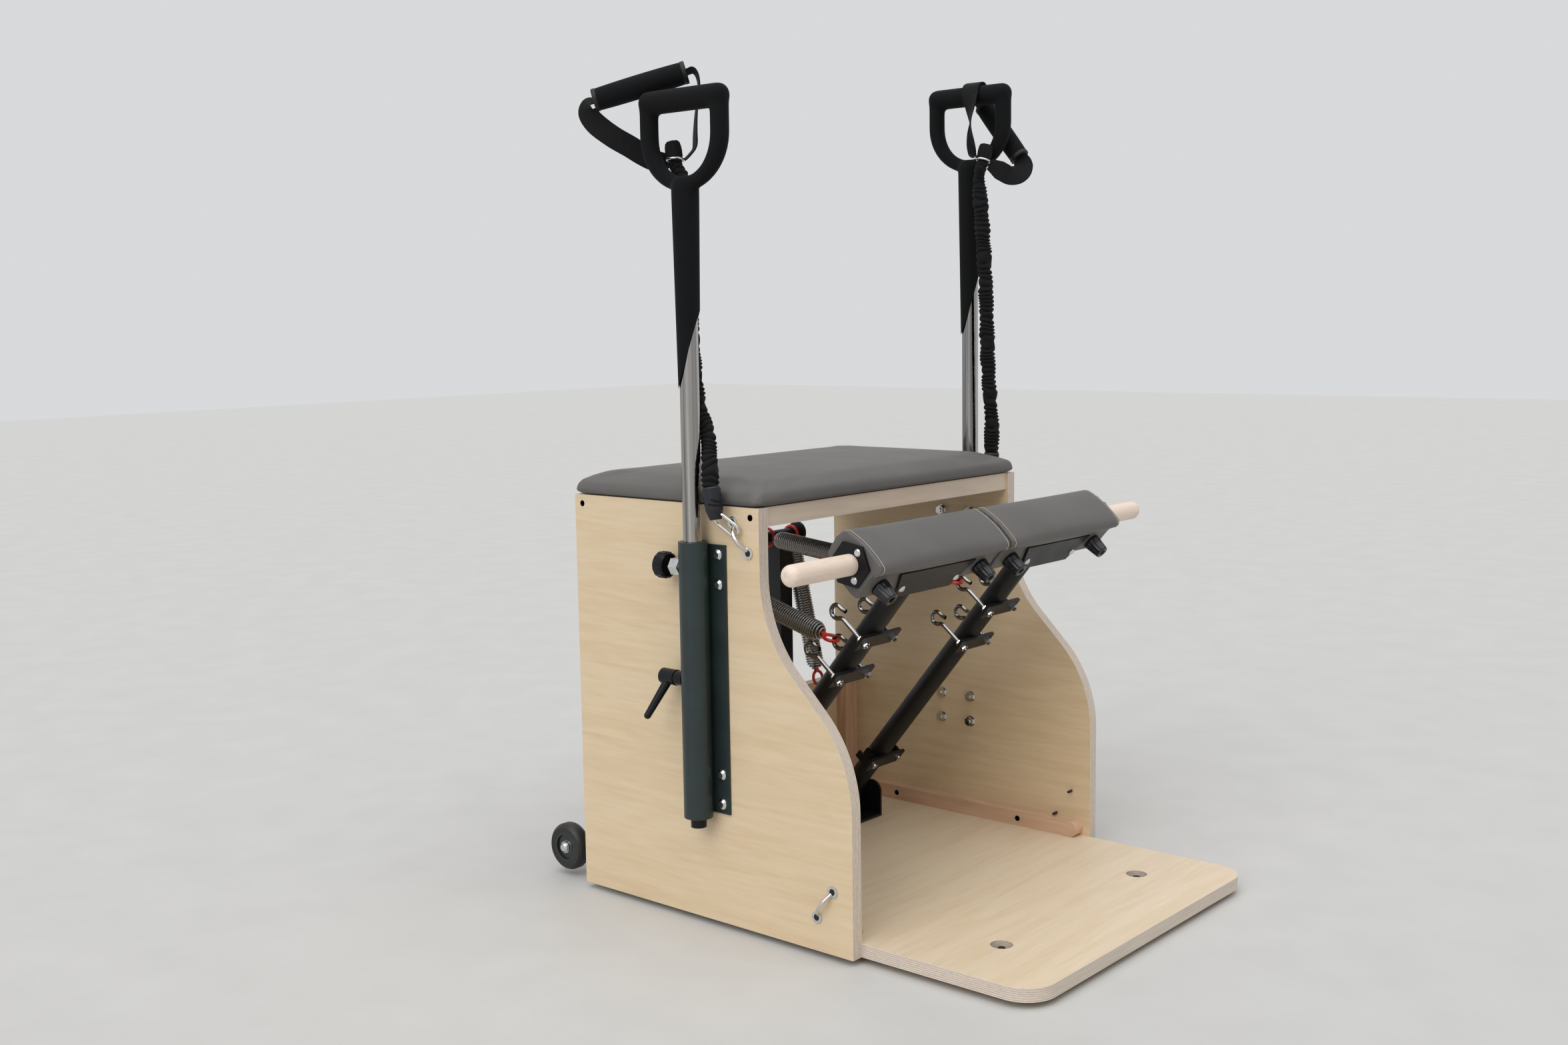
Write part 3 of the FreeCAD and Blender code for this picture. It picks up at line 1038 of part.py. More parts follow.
clips = []
cuffs = []
for name, sign in SIDES:
    # Snap hook: a bent wire, open on the side of its gate
    low, along, aside = clip_frame(sign)
    half, long_run = S.clip_half, S.clip_length - 2 * S.clip_half
    first, last = low + along * half, low + along * (half + long_run)
    wire = [
        Part.Arc(first + aside * half, low, first - aside * half).toShape(),
        Part.LineSegment(first - aside * half, last - aside * half).toShape(),
        Part.Arc(last - aside * half, last + along * half, last + aside * half).toShape(),
    ]
    clip = tube(wire, S.clip_wire)
    clips.append(clip)
    gate_run = long_run - 2 * S.gate_gap
    gate = Part.makeCylinder(1.2 * S.clip_wire, gate_run)
    shaped(name + "_clip_gate", placed(gate, first + aside * half + along * S.gate_gap, along))

    # Cord from the stopper into the cuff
    clip_top = low + along * S.clip_length
    corners = [spot_of(sign, place) for place in CORD_ROUTES[name]]
    ahead, share = CORD_AHEAD[name]
    corners.append(clip_top + Vector(0, -ahead, share * S.cord_drop))
    down = (clip_top - corners[-1]).normalize()
    foot = clip_top + down * S.cuff_hold
    cord_end = foot - down * S.cuff_end
    route, radii = rounded_route(corners + [cord_end])
    cord = tube(route, S.cord_radius)
    length = sum(edge.Length for edge in route)
    section = math.pi * S.cord_radius ** 2
    print("%s cord: length %.1f, radii %s, volume share %.4f" % (
        name, length, [round(radius) for radius in radii], cord.Volume / (section * length)))
    shaped(name + "_cord", cord)
    wide, narrow, long = S.cuff_radius, S.cord_radius - S.clip_wire, S.cuff_length
    cuff = turned([(0, 0), (wide - 1, 0), (wide, 2), (wide, 0.7 * long), (narrow, long), (0, long)],
                  foot - down * long, down)
    bore = placed(Part.makeCylinder(S.cord_radius, long), cord_end - down * long, down)
    room = Part.makeCylinder(1.2 * S.clip_wire + S.gate_gap, long_run + 2 * S.gate_gap)
    room = placed(room, first + aside * half - along * S.gate_gap, along)
    cuffs.append(cuff.cut([bore, tube(wire, S.clip_wire), room]))

    # Neck, ring and knot at the cord's upper end
    ring_spot = spot_of(sign, RING_SPOTS[name])
    neck_run = ring_spot - corners[0]
    neck_up = Vector(neck_run).normalize()
    neck = Part.makeCylinder(S.neck_radius, neck_run.Length + S.neck_radius)
    neck = placed(neck, corners[0] - neck_up * S.neck_radius, neck_up).cut(cord)
    up = Vector(KNOT_HEADINGS[name]).normalize()
    knot = placed(rounded_rod(S.knot_radius, S.knot_height, 0.5 * S.knot_radius),
                  ring_spot - up * 0.5 * S.knot_radius, up)
    meets = [Vector(radial).normalize() for radial in RING_MEETS[name]]
    level = meets[0].cross(meets[1]) if name == "left" else up
    joined = neck.fuse([knot, ring(S.ring_radius, S.ring_wire, ring_spot, level)])
    shaped(name + "_cord_ring", joined)

    # Hand grip and its strap
    ends = [spot_of(sign, place) for place in GRIP_ENDS[name]]
    axis = (ends[1] - ends[0]).normalize()
    grip = rounded_rod(S.hand_grip_radius, (ends[1] - ends[0]).Length, 3)
    shaped(name + "_hand_grip", placed(grip, ends[0], axis))
    legs = []
    for start, heading, places, radial, width in zip(ends, (-axis, axis), STRAP_ROUTES[name], meets,
                                                     STRAP_WIDTH[name]):
        finish = ring_spot + radial * (S.ring_radius + S.ring_wire + S.loop_gap)
        middle = [spot_of(sign, place) for place in places]
        points = [start] + middle + [finish + radial * STRAP_END, finish]
        legs.append(strap_leg(points, heading, -radial, width))
    shaped(name + "_strap", Part.makeCompound(legs))
shaped("snap_hooks", Part.makeCompound(clips))
shaped("cord_cuffs", Part.makeCompound(cuffs))
shaped("wood_screws", Part.makeCompound(screws))

# Check every piece and write it
doc.recompute()
for item in doc.Objects:
    if "Invalid" in item.State or "Error" in item.State:
        raise ValueError("%s did not build" % item.Label)
os.makedirs("parts", exist_ok=True)
for item in NODES:
    shape = item.Shape
    if shape.isNull() or not shape.isValid():
        raise ValueError("%s is not a sound solid" % item.Label)
    shape.exportStep("parts/%s.step" % item.Label)
print("%d nodes written" % len(NODES))
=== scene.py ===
# %% [markdown]
# # A pilates chair, dressed
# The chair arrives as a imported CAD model: plywood box, pedals, poles and metal parts are already in place.
# This lesson adds what CAD solids cannot show: upholstery, springs, gathered cords, webbing, foam and finishes.
# Every piece is worked out in metres in the CAD model's own frame, so nothing has to be fitted by eye.

# %% Load the frame
import math

import bmesh
import bpy
import numpy as np
from mathutils import Matrix, Vector
from mathutils.bvhtree import BVHTree


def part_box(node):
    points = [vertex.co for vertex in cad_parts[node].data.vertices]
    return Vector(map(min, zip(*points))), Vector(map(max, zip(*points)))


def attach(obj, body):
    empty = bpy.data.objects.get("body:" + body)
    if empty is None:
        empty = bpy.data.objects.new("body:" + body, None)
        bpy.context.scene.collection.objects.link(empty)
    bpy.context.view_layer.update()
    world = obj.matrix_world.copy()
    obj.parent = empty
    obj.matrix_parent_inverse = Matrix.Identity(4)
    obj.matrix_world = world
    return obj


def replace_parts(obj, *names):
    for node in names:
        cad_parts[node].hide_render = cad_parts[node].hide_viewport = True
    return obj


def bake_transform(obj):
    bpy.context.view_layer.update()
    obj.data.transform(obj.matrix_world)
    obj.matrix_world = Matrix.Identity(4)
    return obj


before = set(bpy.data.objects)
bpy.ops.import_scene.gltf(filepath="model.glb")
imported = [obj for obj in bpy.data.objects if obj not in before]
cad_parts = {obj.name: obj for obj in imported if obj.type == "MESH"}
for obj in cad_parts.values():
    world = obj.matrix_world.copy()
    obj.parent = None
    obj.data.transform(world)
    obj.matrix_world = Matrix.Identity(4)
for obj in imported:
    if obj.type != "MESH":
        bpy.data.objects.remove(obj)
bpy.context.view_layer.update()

SIDES = {"left": -1, "right": 1}
ACROSS = np.array([1.0, 0, 0])

# %% [markdown]
# ## Tools for surfaces
# Each new piece is a grid of points: rows run along the piece, columns run round it or across it.
# A grid could be pushed and pulled by hand in edit mode, but a formula can be checked and changed later,
# and numpy works it out for all points at once.

# %% Grids
def unit(vectors):
    """Each vector divided by its own length."""
    return vectors / np.linalg.norm(vectors, axis=-1, keepdims=True)


def run_of(line):
    """Distance along a line at each of its points."""
    return np.append(0, np.cumsum(np.linalg.norm(np.diff(line, axis=0), axis=-1)))


def heading_of(line):
    """Unit direction of a line at each of its points."""
    return unit(np.gradient(line, axis=0))


def placed(name, data):
    """A new object in the scene."""
    item = bpy.data.objects.new(name, data)
    bpy.context.collection.objects.link(item)
    return item


def lay(name, grids, finish, wrap=True, caps=True):
    """One object from one or several grids of points (rows, columns, 3).

    Quads join neighbouring points; wrap closes the columns to a ring and caps close the two ends with a fan.
    The UV map holds metres along the rows and across the columns, so a woven pattern keeps its scale."""
    points, faces, places, count = [], [], [], 0
    for grid in grids if isinstance(grids, list) else [grids]:
        rows, cols = grid.shape[:2]
        closed = np.append(grid, grid[:, :1], axis=1) if wrap else grid
        along = run_of(grid.mean(1))
        around = np.append(0, np.cumsum(np.linalg.norm(np.diff(closed, axis=1), axis=-1).mean(0)))
        row, col = np.broadcast_arrays(np.arange(rows - 1)[:, None, None] + [0, 0, 1, 1],
                                       np.arange(len(around) - 1)[:, None] + [0, 1, 1, 0])
        points.append(grid.reshape(-1, 3))
        faces += (count + row * cols + col % cols).reshape(-1, 4).tolist()
        places.append(np.stack([along[row], around[col]], -1).reshape(-1, 2))
        if caps:
            ring, base = np.arange(cols), (rows - 1) * cols
            turn, hub = np.roll(ring, -1), np.full(cols, rows * cols)
            fans = np.concatenate([np.stack([hub, turn, ring], -1),
                                   np.stack([hub + 1, base + ring, base + turn], -1)])
            points.append(grid[[0, -1]].mean(1))
            faces += (count + fans).tolist()
            places.append(np.zeros((fans.size, 2)))
        count += rows * cols + 2 * caps
    mesh = bpy.data.meshes.new(name)
    mesh.from_pydata(np.concatenate(points).tolist(), [], faces)
    mesh.uv_layers.new(name="UVMap").data.foreach_set("uv", np.concatenate(places).astype(np.float32).ravel())
    mesh.shade_smooth()
    mesh.materials.append(finish)
    return placed(name, mesh)


print("grid tools ready")

# %% Lines, sweeps and turned pieces
def sweep(path, section, lead):
    """A profile carried along a path.

    At each path point the profile's first axis is the lead direction made square to the path, and its second
    axis is the path's direction crossed with the first."""
    along = heading_of(path)
    side = unit(lead - (lead * along).sum(-1, keepdims=True) * along)
    up = np.cross(along, side)
    section = np.broadcast_to(section, (len(path),) + section.shape[-2:])
    return path[:, None] + section[..., :1] * side[:, None] + section[..., 1:] * up[:, None]


def angles(count):
    """Even steps of one full turn."""
    return np.linspace(0, 2 * np.pi, count, endpoint=False)


def circle(count):
    """Points of a unit circle, counterclockwise."""
    return np.stack([np.cos(angles(count)), np.sin(angles(count))], -1)


def even(path, count):
    """The same line with its points spaced evenly along its length."""
    length = run_of(path)
    where = np.linspace(0, length[-1], count)
    return np.stack([np.interp(where, length, path[:, axis]) for axis in range(3)], -1)


def through(points, count):
    """A smooth line through points: between two points a cubic leaves and arrives along the neighbours' chord."""
    points = np.asarray(points, float)
    padded = np.vstack([2 * points[0] - points[1], points, 2 * points[-1] - points[-2]])
    before, start, stop, after = padded[:-3], padded[1:-2], padded[2:-1], padded[3:]
    t = np.linspace(0, 1, 40, endpoint=False)[:, None, None]
    cubic = start + 0.5 * t * (stop - before + t * (2 * before - 5 * start + 4 * stop - after
                                                    + t * (3 * (start - stop) + after - before)))
    return even(np.vstack([cubic.transpose(1, 0, 2).reshape(-1, 3), points[-1:]]), count)


def turned(profile, foot, axis, flutes=None):
    """A turned piece: (radius, height) pairs spun about an axis, with an optional share of the radius by angle."""
    profile = np.asarray(profile, float)
    axis = unit(np.asarray(axis, float))
    side = unit(np.cross(axis, [0.0, 1, 0] if abs(axis[1]) < 0.9 else [1.0, 0, 0]))
    ring = circle(48 if flutes is None else flutes.shape[-1])
    radius = profile[:, :1] if flutes is None else profile[:, :1] * flutes
    spun = ring[None] * radius[..., None]
    lift = np.asarray(foot) + profile[:, 1:] * axis
    return lift[:, None] + spun[..., :1] * side + spun[..., 1:] * np.cross(axis, side)


print("line tools ready")

# %% Reading and dressing pieces
def show(piece):
    """Print a piece's faces and enclosed volume, which is above zero where its faces point outwards."""
    shape = bmesh.new()
    shape.from_mesh(piece.data)
    print("%s: %d faces, %.4f litres" % (piece.name, len(shape.faces), 1000 * shape.calc_volume(signed=True)))
    shape.free()
    return piece


def spots_of(mesh, kind="co"):
    """A mesh's vertices, or their normals, as rows of three numbers."""
    spots = np.empty(3 * len(mesh.vertices))
    mesh.vertices.foreach_get(kind, spots)
    return spots.reshape(-1, 3)


def as_mesh(piece):
    """A new mesh of a piece as its modifiers leave it."""
    bpy.context.view_layer.update()
    return bpy.data.meshes.new_from_object(piece.evaluated_get(bpy.context.evaluated_depsgraph_get()))


def dress(piece, finish):
    """Give a piece one finish in place of those it has."""
    piece.data.materials.clear()
    piece.data.materials.append(finish)


print("piece tools ready")

# %% [markdown]
# ## Tools for finishes
# A finish is a small node tree round one Principled shader. Patterns read Object coordinates, which are metres
# in the chair's frame, so a 1.4 mm ply layer is written as 0.0014. Woven pieces read their UV map instead.

# %% Node helpers
class Nodes:
    """A node tree with short ways to add and wire nodes."""

    def __init__(self, tree):
        self.tree = tree

    def wire(self, value, socket):
        """Link a socket to another node's output, or else set it to a plain value."""
        if isinstance(value, bpy.types.NodeSocket):
            self.tree.links.new(value, socket)
        else:
            socket.default_value = value

    def add(self, kind, **values):
        """A shader node; each keyword goes to the input of that name, or else to the node's own property."""
        item = self.tree.nodes.new("ShaderNode" + kind)
        for key, value in values.items():
            label = key.replace("_", " ").lower()
            socket = next((one for one in item.inputs if one.name.lower() == label), None)
            if socket is None:
                setattr(item, key, value)
            else:
                self.wire(value, socket)
        return item

    def math(self, operation, *values):
        """One Math node's result."""
        item = self.add("Math", operation=operation)
        for socket, value in zip(item.inputs, values):
            self.wire(value, socket)
        return item.outputs[0]

    def mix(self, factor, first, second):
        """The first colour where the factor is 0, the second where it is 1."""
        return self.add("MixRGB", Fac=factor, Color1=first, Color2=second).outputs[0]

    def ramp(self, factor, *stops):
        """A colour ramp through (place, colour) stops."""
        item = self.add("ValToRGB")
        self.wire(factor, item.inputs[0])
        band = item.color_ramp
        while len(band.elements) < len(stops):
            band.elements.new(0.5)
        for element, (place, colour) in zip(band.elements, stops):
            element.position = place
            element.color = (*colour, 1) if hasattr(colour, "__len__") else (colour, colour, colour, 1)
        return item.outputs[0]


print("node tools ready")

# %% Finish helpers
class Finish(Nodes):
    """A material with a Principled shader whose plain values are set on its own sockets."""

    def __init__(self, name, **values):
        self.material = bpy.data.materials.new(name)
        self.material.use_nodes = True
        super().__init__(self.material.node_tree)
        self.sockets = self.tree.nodes["Principled BSDF"].inputs
        for key, value in values.items():
            self.put(key.replace("_", " "), value)

    def put(self, name, value):
        """Link or set one of the shader's sockets."""
        self.wire(value, self.sockets[name])

    def vary(self, name, factor, *stops):
        """One of the shader's sockets follows a factor through a ramp."""
        self.put(name, self.ramp(factor, *stops))

    def spot(self, source="Object"):
        """Texture coordinates: metres in the chair's frame, or the UV map."""
        return self.add("TexCoord").outputs[source]

    def axes(self):
        """The three Object coordinates."""
        return self.add("SeparateXYZ", Vector=self.spot()).outputs

    def noise(self, scale, detail=4, distortion=0.0):
        """Noise of some cells per metre; a list of three scales, one of them low, draws the pattern out that way."""
        scale = np.broadcast_to(scale, 3).astype(float)
        mapped = self.add("Mapping", Vector=self.spot(), Scale=scale).outputs[0]
        return self.add("TexNoise", Vector=mapped, Scale=1.0, Detail=detail, Distortion=distortion).outputs[0]

    def bump(self, height, distance, strength, under=None):
        """Bump of a stated depth in metres on the shader's normal, on top of another bump where there is one."""
        item = self.add("Bump", Height=height, Distance=distance, Strength=strength)
        if under is not None:
            self.wire(under, item.inputs["Normal"])
        self.put("Normal", item.outputs[0])
        return item.outputs[0]


print("finish tools ready")

# %% [markdown]
# ## Camera, floor and light
# The camera was solved from the edges of the side panels and the base board: a 38.55 mm lens on a 36 mm wide
# sensor, seen from the chair's front left at a low height. The floor and the surroundings are plain and pale.
# Two very wide lamps, one overhead and one from the left, and a pale world give the soft light of a bright room,
# at a level where a colour renders about as it is written.

# %% Camera
scene = bpy.context.scene
scene.view_settings.view_transform = "Standard"
lens = bpy.data.cameras.new("camera")
lens.lens = 38.55
lens.sensor_width = 36
lens.clip_end = 60
camera = placed("camera", lens)
RIGHT = Vector((0.65116, -0.75879, -0.01506))
UP = Vector((0.10173, 0.06761, 0.99251))
BACK = Vector((-0.75209, -0.64782, 0.12122))
EYE = Vector((-1.94048, -1.47097, 0.83757))
camera.matrix_world = Matrix.Translation(EYE) @ Matrix((RIGHT, UP, BACK)).transposed().to_4x4()
scene.camera = camera
print("camera at", [round(v, 3) for v in camera.location])

# %% Floor and light
look = Finish("pale_floor", Roughness=0.55)
floor_finish = look.material
look.vary("Base Color", look.noise(9, detail=6), (0.3, (0.575, 0.573, 0.563)), (0.7, (0.608, 0.606, 0.598)))
FLOOR_REACH = 14.0
floor_corners = FLOOR_REACH * np.array([[(-1, -1, 0), (1, -1, 0)], [(-1, 1, 0), (1, 1, 0)]])
floor = lay("floor", floor_corners, floor_finish, wrap=False, caps=False)

world = bpy.data.worlds.new("bright_room")
scene.world = world
world.use_nodes = True
look = Nodes(world.node_tree)
look.tree.nodes.clear()
path = look.add("LightPath").outputs
seen = look.math("MAXIMUM", path["Is Camera Ray"], path["Is Glossy Ray"])
seen = look.math("MAXIMUM", seen, path["Is Transmission Ray"])
lighting = look.add("Background", Color=(1.0, 0.99, 0.97, 1), Strength=0.35)
backdrop = look.add("Background", Color=(0.69, 0.697, 0.71, 1), Strength=1.0)
both = look.add("MixShader")
for socket, value in zip(both.inputs, (seen, lighting.outputs[0], backdrop.outputs[0])):
    look.wire(value, socket)
look.wire(both.outputs[0], look.add("OutputWorld").inputs[0])


def lamp(name, place, spread, strength):
    """A wide lamp far away in the direction of a place, spread over an angle in degrees."""
    light = bpy.data.lights.new(name, "SUN")
    light.angle = math.radians(spread)
    light.energy = strength
    holder = placed(name, light)
    holder.location = place
    holder.rotation_mode = "QUATERNION"
    holder.rotation_quaternion = Vector(place).to_track_quat("Z", "Y")


lamp("ceiling_lamp", (-0.3, -0.7, 3.0), spread=75, strength=1.68)
lamp("side_lamp", (-2.8, -0.1, 2.0), spread=45, strength=1.05)
print("floor, world and two lamps")

# %% [markdown]
# ## Wood
# The panels are birch plywood. Their edges show the plies, so the finish is a solid pattern: thirteen layers,
# told apart by the distance through the board, and a drawn-out grain on the outer veneers. A picture of wood
# would need unwrapping and would not reach into the cut edges; a solid pattern does both by itself.

# %% Plywood
PLIES = 13
BOARD = 0.018
VENEER = ((0.665, 0.505, 0.315), (0.715, 0.565, 0.375), (0.755, 0.615, 0.425))


def plywood(name, axis, low, grain, tint=(1.03, 1.03, 1.03)):
    """Birch plywood whose layers are counted along one axis from a face; grain is cells per metre on each axis."""
    shade = [tuple(part * share for part, share in zip(colour, tint)) for colour in VENEER]
    look = Finish(name, Roughness=0.42)
    spot = look.axes()[axis]
    depth = look.math("MULTIPLY_ADD", spot, PLIES / BOARD, 0.02 - low * PLIES / BOARD)
    layer = look.math("MINIMUM", look.math("MAXIMUM", look.math("FLOOR", depth), 0.0), PLIES - 1.0)
    crossed = look.math("PINGPONG", layer, 1.0)
    wide = look.noise(grain, distortion=0.5)
    fine = look.noise(tuple(7 * g for g in grain))
    rings = look.math("PINGPONG", look.math("MULTIPLY", wide, 7.0), 1.0)
    figure = look.math("MULTIPLY_ADD", fine, 0.75, look.math("MULTIPLY", rings, 0.25))
    veneer = look.ramp(figure, *zip((0.2, 0.5, 0.8), shade))
    long_ply = look.ramp(fine, (0.3, (0.69, 0.60, 0.51)), (0.7, (0.80, 0.72, 0.63)))
    end_ply = look.ramp(fine, (0.3, (0.52, 0.42, 0.34)), (0.7, (0.64, 0.54, 0.45)))
    edge = look.mix(crossed, long_ply, end_ply)
    facing = look.add("SeparateXYZ", Vector=look.add("NewGeometry").outputs["Normal"]).outputs[axis]
    on_face = look.math("GREATER_THAN", look.math("ABSOLUTE", facing), 0.8)
    look.put("Base Color", look.mix(on_face, edge, veneer))
    look.vary("Roughness", fine, (0.2, 0.36), (0.8, 0.5))
    look.bump(look.math("MULTIPLY_ADD", crossed, -0.7, figure), 0.00025, 0.5)
    return look.material


side_grain = (90, 2.2, 30)
board_ply = plywood("board_plywood", 2, 0.009, (2.2, 30, 90), (1.05, 1.09, 1.18))
rear_ply = plywood("rear_plywood", 1, 0.309, (2.2, 90, 30))
side_ply = {"left": plywood("left_plywood", 0, -0.306, side_grain),
            "right": plywood("right_plywood", 0, 0.288, side_grain)}
print("plywood finishes", board_ply.name, rear_ply.name)

# %% [markdown]
# The rails and battens are solid beech in three directions, in one CAD node. Height tells them apart, so one
# finish can draw its grain along the rail, the floor batten or the corner batten it is on. The dowel has its
# grain along X.

# %% Solid timber
look = Finish("rail_timber")
timber = look.material
across, along, rise = look.axes()
on_rail = look.math("GREATER_THAN", rise, 0.5)
on_floor = look.math("LESS_THAN", rise, 0.0515)
on_corner = look.math("SUBTRACT", look.math("SUBTRACT", 1.0, on_rail), on_floor)
drawn = [look.math("MULTIPLY", spot, look.math("MULTIPLY_ADD", mask, -110.0, 120.0))
         for spot, mask in zip((across, along, rise), (on_rail, on_floor, on_corner))]
joined = look.add("CombineXYZ", X=drawn[0], Y=drawn[1], Z=drawn[2]).outputs[0]
grain = look.add("TexNoise", Vector=joined, Scale=1.0, Detail=6.0, Distortion=0.4).outputs[0]
pale = look.ramp(grain, (0.3, (0.67, 0.545, 0.43)), (0.7, (0.76, 0.645, 0.53)))
pink = look.ramp(grain, (0.3, (0.60, 0.38, 0.25)), (0.7, (0.73, 0.50, 0.35)))
look.put("Base Color", look.mix(on_rail, pink, pale))
look.vary("Roughness", grain, (0.2, 0.45), (0.8, 0.6))
look.bump(grain, 0.0002, 0.5)

look = Finish("dowel_beech")
beech = look.material
grain = look.noise((5, 130, 130), detail=6, distortion=0.3)
fleck = look.noise((60, 700, 700), detail=1)
tone = look.math("MULTIPLY_ADD", fleck, 0.35, look.math("MULTIPLY", grain, 0.65))
look.vary("Base Color", tone, (0.3, (0.69, 0.52, 0.40)), (0.46, (0.85, 0.70, 0.585)), (0.75, (0.89, 0.77, 0.665)))
look.vary("Roughness", grain, (0.3, 0.4), (0.7, 0.52))
look.bump(tone, 0.00015, 0.5)
print("timber finishes", timber.name, beech.name)

# %% [markdown]
# ## Vinyl and thread
# The seat and pads wear a matt, warm grey vinyl. Its pebbled grain is a small cell pattern of about a
# millimetre, with a slow change of tone from handling. The thread is a cream cotton.

# %% Upholstery
look = Finish("grey_vinyl", Specular_IOR_Level=0.42)
vinyl = look.material
pebble = look.add("TexVoronoi", Vector=look.spot(), Scale=950.0).outputs[0]
pores = look.noise(1900, detail=2)
handled = look.noise(14, detail=5)
look.vary("Base Color", handled, (0.3, (0.106, 0.100, 0.095)), (0.7, (0.128, 0.121, 0.115)))
look.vary("Roughness", handled, (0.3, 0.46), (0.7, 0.56))
creases = look.noise(45, detail=3)
soft = look.bump(creases, 0.0008, 0.35)
look.bump(look.math("MULTIPLY_ADD", pores, 0.3, pebble), 0.00022, 0.6, under=soft)

look = Finish("cream_thread", Roughness=0.8, Sheen_Weight=0.2)
thread = look.material
strand = look.noise((2500, 2500, 900), detail=2)
look.vary("Base Color", strand, (0.3, (0.42, 0.38, 0.31)), (0.7, (0.60, 0.55, 0.46)))
look.bump(strand, 0.0002, 0.6)
print("upholstery finishes", vinyl.name, thread.name)

# %% [markdown]
# ## Metal
# Powder coat has a fine orange peel. Drawn tube has marks along its length, so its noise is stretched in Z; on the
# pole the same noise also paints strong dark and bright stripes into the colour, which are painted reflections.
# Plated fasteners are bright with faint smudges, and spring wire is darker. A metal's look comes from what it
# reflects, so these trees mostly vary roughness. The necks are one CAD node: height tells the plated ones of the
# pull pins from the black ones of the clamp levers.

# %% Coats and steels
def coat(name, colour, rough, peel=900, metal=0.0, gloss=0.5):
    """A sprayed coat: even colour, faint cloudiness and an orange peel of some cells per metre."""
    look = Finish(name, Metallic=metal, Specular_IOR_Level=gloss)
    cloud = look.noise(22)
    shade = tuple(1.35 * part for part in colour)
    look.vary("Base Color", cloud, (0.3, colour), (0.75, shade))
    look.vary("Roughness", cloud, (0.3, rough - 0.05), (0.7, rough + 0.07))
    look.bump(look.noise(peel, detail=2), 0.00015, 0.35)
    return look.material


def steel(name, colour, rough, scale, spread=0.1, grain=0.00004, tone_and_reflection_share=0.86):
    """Bare or plated metal: drawing marks or smudges change its gloss, and barely its colour; a low dark share paints
    strong dark and bright stripes into the colour, which are painted reflections.
    """
    look = Finish(name, Metallic=1.0)
    marks_and_reflection = look.noise(scale, detail=5)
    dark = tuple(tone_and_reflection_share * part for part in colour)
    look.vary("Base Color", marks_and_reflection, (0.3, dark), (0.7, colour))
    look.vary("Roughness", marks_and_reflection, (0.25, rough - spread / 2), (0.75, rough + spread / 2))
    look.bump(marks_and_reflection, grain, 0.4)
    return look.material


black_coat = coat("black_powder_coat", (0.0075, 0.0076, 0.0084), 0.42, gloss=0.3)
socket_coat = coat("dark_green_coat", (0.0185, 0.0300, 0.0290), 0.36, peel=1300, metal=0.2)
# The pole's colour runs from 0.16 of itself to all of it along noise stretched in Z: painted reflection stripes.
pole_steel = steel("drawn_steel", (0.60, 0.585, 0.56), 0.13, (130, 130, 0.9), 0.1, tone_and_reflection_share=0.16)
plated = steel("bright_plate", (0.70, 0.70, 0.69), 0.2, 160, 0.16)
hook_steel = steel("dark_chrome", (0.27, 0.27, 0.265), 0.16, 120, 0.1)
spring_steel = steel("spring_wire", (0.33, 0.32, 0.31), 0.27, 220, 0.14)
screw_black = coat("black_oxide", (0.018, 0.018, 0.019), 0.38, peel=1500, metal=0.5)
red_dip = coat("red_dip_coat", (0.50, 0.022, 0.012), 0.3, peel=420)

look = Finish("plated_and_black_necks", Specular_IOR_Level=0.24)
neck_finish = look.material
NECK_SPLIT = (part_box("left_pull_pin")[0].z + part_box("left_clamp_lever")[1].z) / 2
bright = look.math("GREATER_THAN", look.axes()[2], NECK_SPLIT)
smudge = look.noise(160, detail=5)
plate = look.ramp(smudge, (0.3, (0.60, 0.60, 0.59)), (0.7, (0.70, 0.70, 0.69)))
look.put("Base Color", look.mix(bright, (0.0050, 0.0053, 0.0066, 1), plate))
look.put("Metallic", bright)
look.vary("Roughness", smudge, (0.25, 0.14), (0.75, 0.3))
look.bump(smudge, 0.00004, 0.4)
print("coats and steels ready; necks are plated above %.3f m" % NECK_SPLIT)

# %% [markdown]
# ## Rubber, plastic and foam
# Moulded black parts differ only in gloss and in grain. Foam is the dullest: closed cells give it a pitted
# skin. The wheel is one CAD node, so its finish reads the distance from the axle to tell bearing, hub and tyre.

# %% Black parts
rubber = coat("moulded_rubber", (0.0085, 0.0085, 0.0095), 0.52, peel=600, gloss=0.35)
cuff_rubber = coat("cuff_rubber", (0.0065, 0.0076, 0.0118), 0.42, peel=350, gloss=0.4)
plastic = coat("moulded_plastic", (0.0050, 0.0053, 0.0066), 0.28, peel=700, gloss=0.24)
bumper_rubber = coat("bumper_rubber", (0.0055, 0.0062, 0.0090), 0.2, peel=500, gloss=0.5)

look = Finish("black_foam", Specular_IOR_Level=0.14, Sheen_Weight=0.02, Sheen_Roughness=0.5)
foam = look.material
cells = look.add("TexVoronoi", Vector=look.spot(), Scale=1100.0).outputs[0]
scuff = look.noise(40, detail=6)
look.vary("Base Color", scuff, (0.35, (0.0044, 0.0048, 0.0056)), (0.75, (0.0076, 0.0080, 0.0090)))
look.vary("Roughness", scuff, (0.3, 0.78), (0.7, 0.92))
look.bump(look.math("MULTIPLY_ADD", scuff, 0.5, cells), 0.0003, 0.6)

